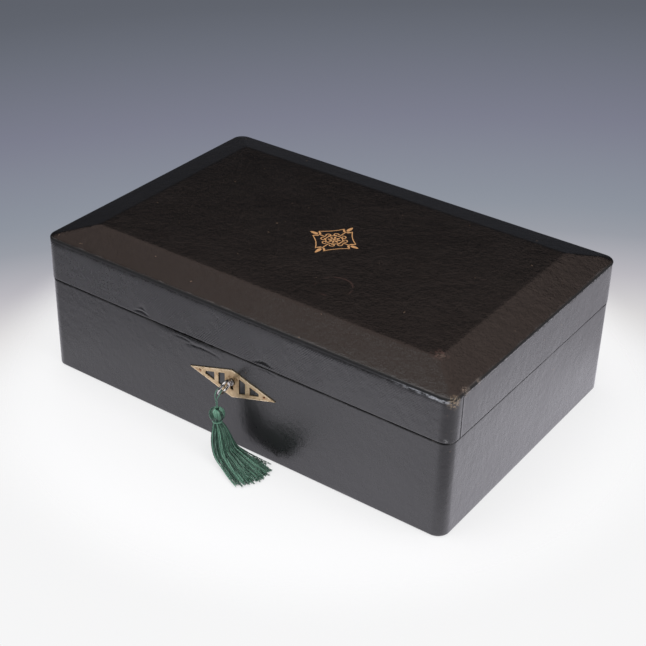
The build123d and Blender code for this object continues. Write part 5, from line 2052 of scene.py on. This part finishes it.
@dataclass
class Linings:
    """The silk inside: panels of covered card on the floor and sides, and the padded panel of the lid."""

    body_sides: tuple[str, ...] = ("floor", "back", "left", "right")
    lid_sides: tuple[str, ...] = ("lid_front", "lid_back", "lid_left", "lid_right")
    pitch: float = 9.0
    weld: float = 0.002
    fold: float = 0.42
    uneven: float = 0.22
    voxel: float = 5.0
    pad_inset: float = 0.1
    pad_reach: float = 0.9
    pad_swell: float = 2.4
    pad_rise: float = 2.6
    pad_uneven: float = 0.25
    pressure: float = 4.0
    frames: int = 20

    def build_panel(self, side: str) -> Piece:
        """Builds the panel of a side, with rounded edges and a slightly uneven face, and returns it."""
        node, body = f"{side}_lining", "lid" if side in self.lid_sides else "box"
        low, high = (Vector(corner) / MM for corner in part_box(node))
        form = box_form(low, high)
        size = high - low
        thin = min(range(3), key=lambda axis: size[axis])
        for axis in range(3):
            if axis == thin:
                continue
            cuts = max(1, round(size[axis] / self.pitch))
            along = [edge for edge in form.edges
                     if abs(edge.verts[0].co[axis] - edge.verts[1].co[axis]) > size[axis] * 0.9]
            bmesh.ops.subdivide_edges(form, edges=along, cuts=cuts, use_grid_fill=True)
        bevelled(form, sharp_edges(form, 1.0), self.fold, 2)
        middle = (low + high) / 2
        inward = -1.0 if middle[thin] > 0 and thin < 2 else 1.0
        for vert in form.verts:
            if (vert.co[thin] - middle[thin]) * inward > size[thin] * 0.2:
                vert.co[thin] -= inward * self.uneven * (0.5 + 0.5 * noise.noise(vert.co * 0.03))
        made = piece_of(f"{side}_silk", form, LINING_SILK, body)
        sharpen(made, 50.0)
        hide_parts(node)
        return made

    def build_front(self) -> Piece:
        """Builds the front panel from its CAD node, which is notched round the lock, and returns it."""
        form = bmesh.new()
        form.from_mesh(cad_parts["front_lining"].data)
        bmesh.ops.scale(form, vec=(1 / MM,) * 3, verts=form.verts)
        bmesh.ops.remove_doubles(form, verts=form.verts, dist=self.weld)
        bmesh.ops.dissolve_limit(form, angle_limit=math.radians(1.0), verts=form.verts, edges=form.edges)
        bevelled(form, sharp_edges(form, math.radians(30.0)), self.fold, 2)
        made = piece_of("front_silk", form, LINING_SILK, "box")
        sharpen(made, 12.0)
        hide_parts("front_lining")
        return made

    def _pad_start(self, low: Vector, high: Vector) -> Piece:
        """The pad before it is filled: a remeshed block, a little smaller than its place."""
        inset = Vector((self.pad_inset, self.pad_inset, 0))
        form = box_form(low + inset + Vector((0, 0, self.pad_rise + 1.0)), high - inset)
        made = piece_of("lid_cushion", form, PAD_SILK, "lid")
        remesh = made.modifiers.new("voxels", "REMESH")
        remesh.mode = "VOXEL"
        remesh.voxel_size = self.voxel * MM
        applied(made, PAD_SILK)
        return made

    def _fill(self, piece: Piece, back: float) -> None:
        """Fills the pad by a short cloth simulation, held at its back.

        Args:
            piece: The pad.
            back: Points above this height in metres stay where they are.
        """
        held = piece.vertex_groups.new(name="held")
        held.add([vert.index for vert in piece.data.vertices if vert.co.z > back], 1.0, "REPLACE")
        cloth = piece.modifiers.new("filling", "CLOTH")
        cloth.settings.quality = 5
        cloth.settings.mass = 0.3
        cloth.settings.vertex_group_mass = "held"
        cloth.settings.use_pressure = True
        cloth.settings.uniform_pressure_force = self.pressure
        cloth.settings.effector_weights.gravity = 0.0
        cloth.collision_settings.use_collision = False
        for number in range(1, self.frames + 1):
            bpy.context.scene.frame_set(number)
        applied(piece, PAD_SILK)
        bpy.context.scene.frame_set(1)

    def build_pad(self) -> Piece:
        """Builds the padded panel of the lid, crowned into the box, and returns it."""
        low, high = (Vector(corner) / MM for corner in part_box("lid_pad"))
        made = self._pad_start(low, high)
        start = [vert.co.copy() for vert in made.data.vertices]
        reach = Vector((self.pad_reach, self.pad_reach, 0)) * 0.6
        self._fill(made, (high.z - 2.0) * MM)
        for vert, first in zip(made.data.vertices, start):
            moved = (vert.co - first) / MM
            if moved.length > self.pad_swell:
                moved = moved.normalized() * self.pad_swell
            place = first / MM + moved
            depth = (high.z - place.z) / (high.z - low.z)
            across = 1 - min(1.0, abs(place.x) / high.x) ** 8
            deep = 1 - min(1.0, abs(place.y) / high.y) ** 8
            free = min(1.0, max(0.0, depth * 2))
            place.z -= self.pad_rise * across * deep * free
            place.z += self.pad_uneven * noise.noise(place * 0.035) * free
            place.x *= 1 + self.pad_reach / high.x
            place.y *= 1 + self.pad_reach / high.y
            vert.co = Vector(max(lowest, min(highest, part))
                             for part, lowest, highest in zip(place, low - reach, high + reach)) * MM
        smooth = made.modifiers.new("rounding", "SUBSURF")
        smooth.levels = smooth.render_levels = 1
        applied(made, PAD_SILK)
        for polygon in made.data.polygons:
            polygon.use_smooth = True
        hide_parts("lid_pad")
        return made


def main() -> None:
    """Builds the studio and every piece, in order."""
    logging.basicConfig(level=logging.INFO, format="%(message)s")
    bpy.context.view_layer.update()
    rng = random.Random(7)
    Studio().build()
    tassel = Tassel()
    fittings = Fittings()
    fittings.dress()
    case = Case()
    linings = Linings()
    steps: list[Callable[[], Piece]] = [
        tassel.build_loop,
        lambda: tassel.build_head(rng),
        tassel.build_binding,
        lambda: tassel.build_skirt(rng),
        case.build_body,
        case.build_lid_sides,
        LidTop().build,
        Ornament().build,
        lambda: fittings.build_escutcheon(case.keyhole()),
        fittings.build_bow,
        linings.build_front,
        linings.build_pad,
        *[lambda side=side: linings.build_panel(side) for side in linings.body_sides + linings.lid_sides],
    ]
    for step in steps:
        made = step()
        log.info("%s: %d faces", made.name, len(made.data.polygons))


if __name__ == "__main__":
    main()
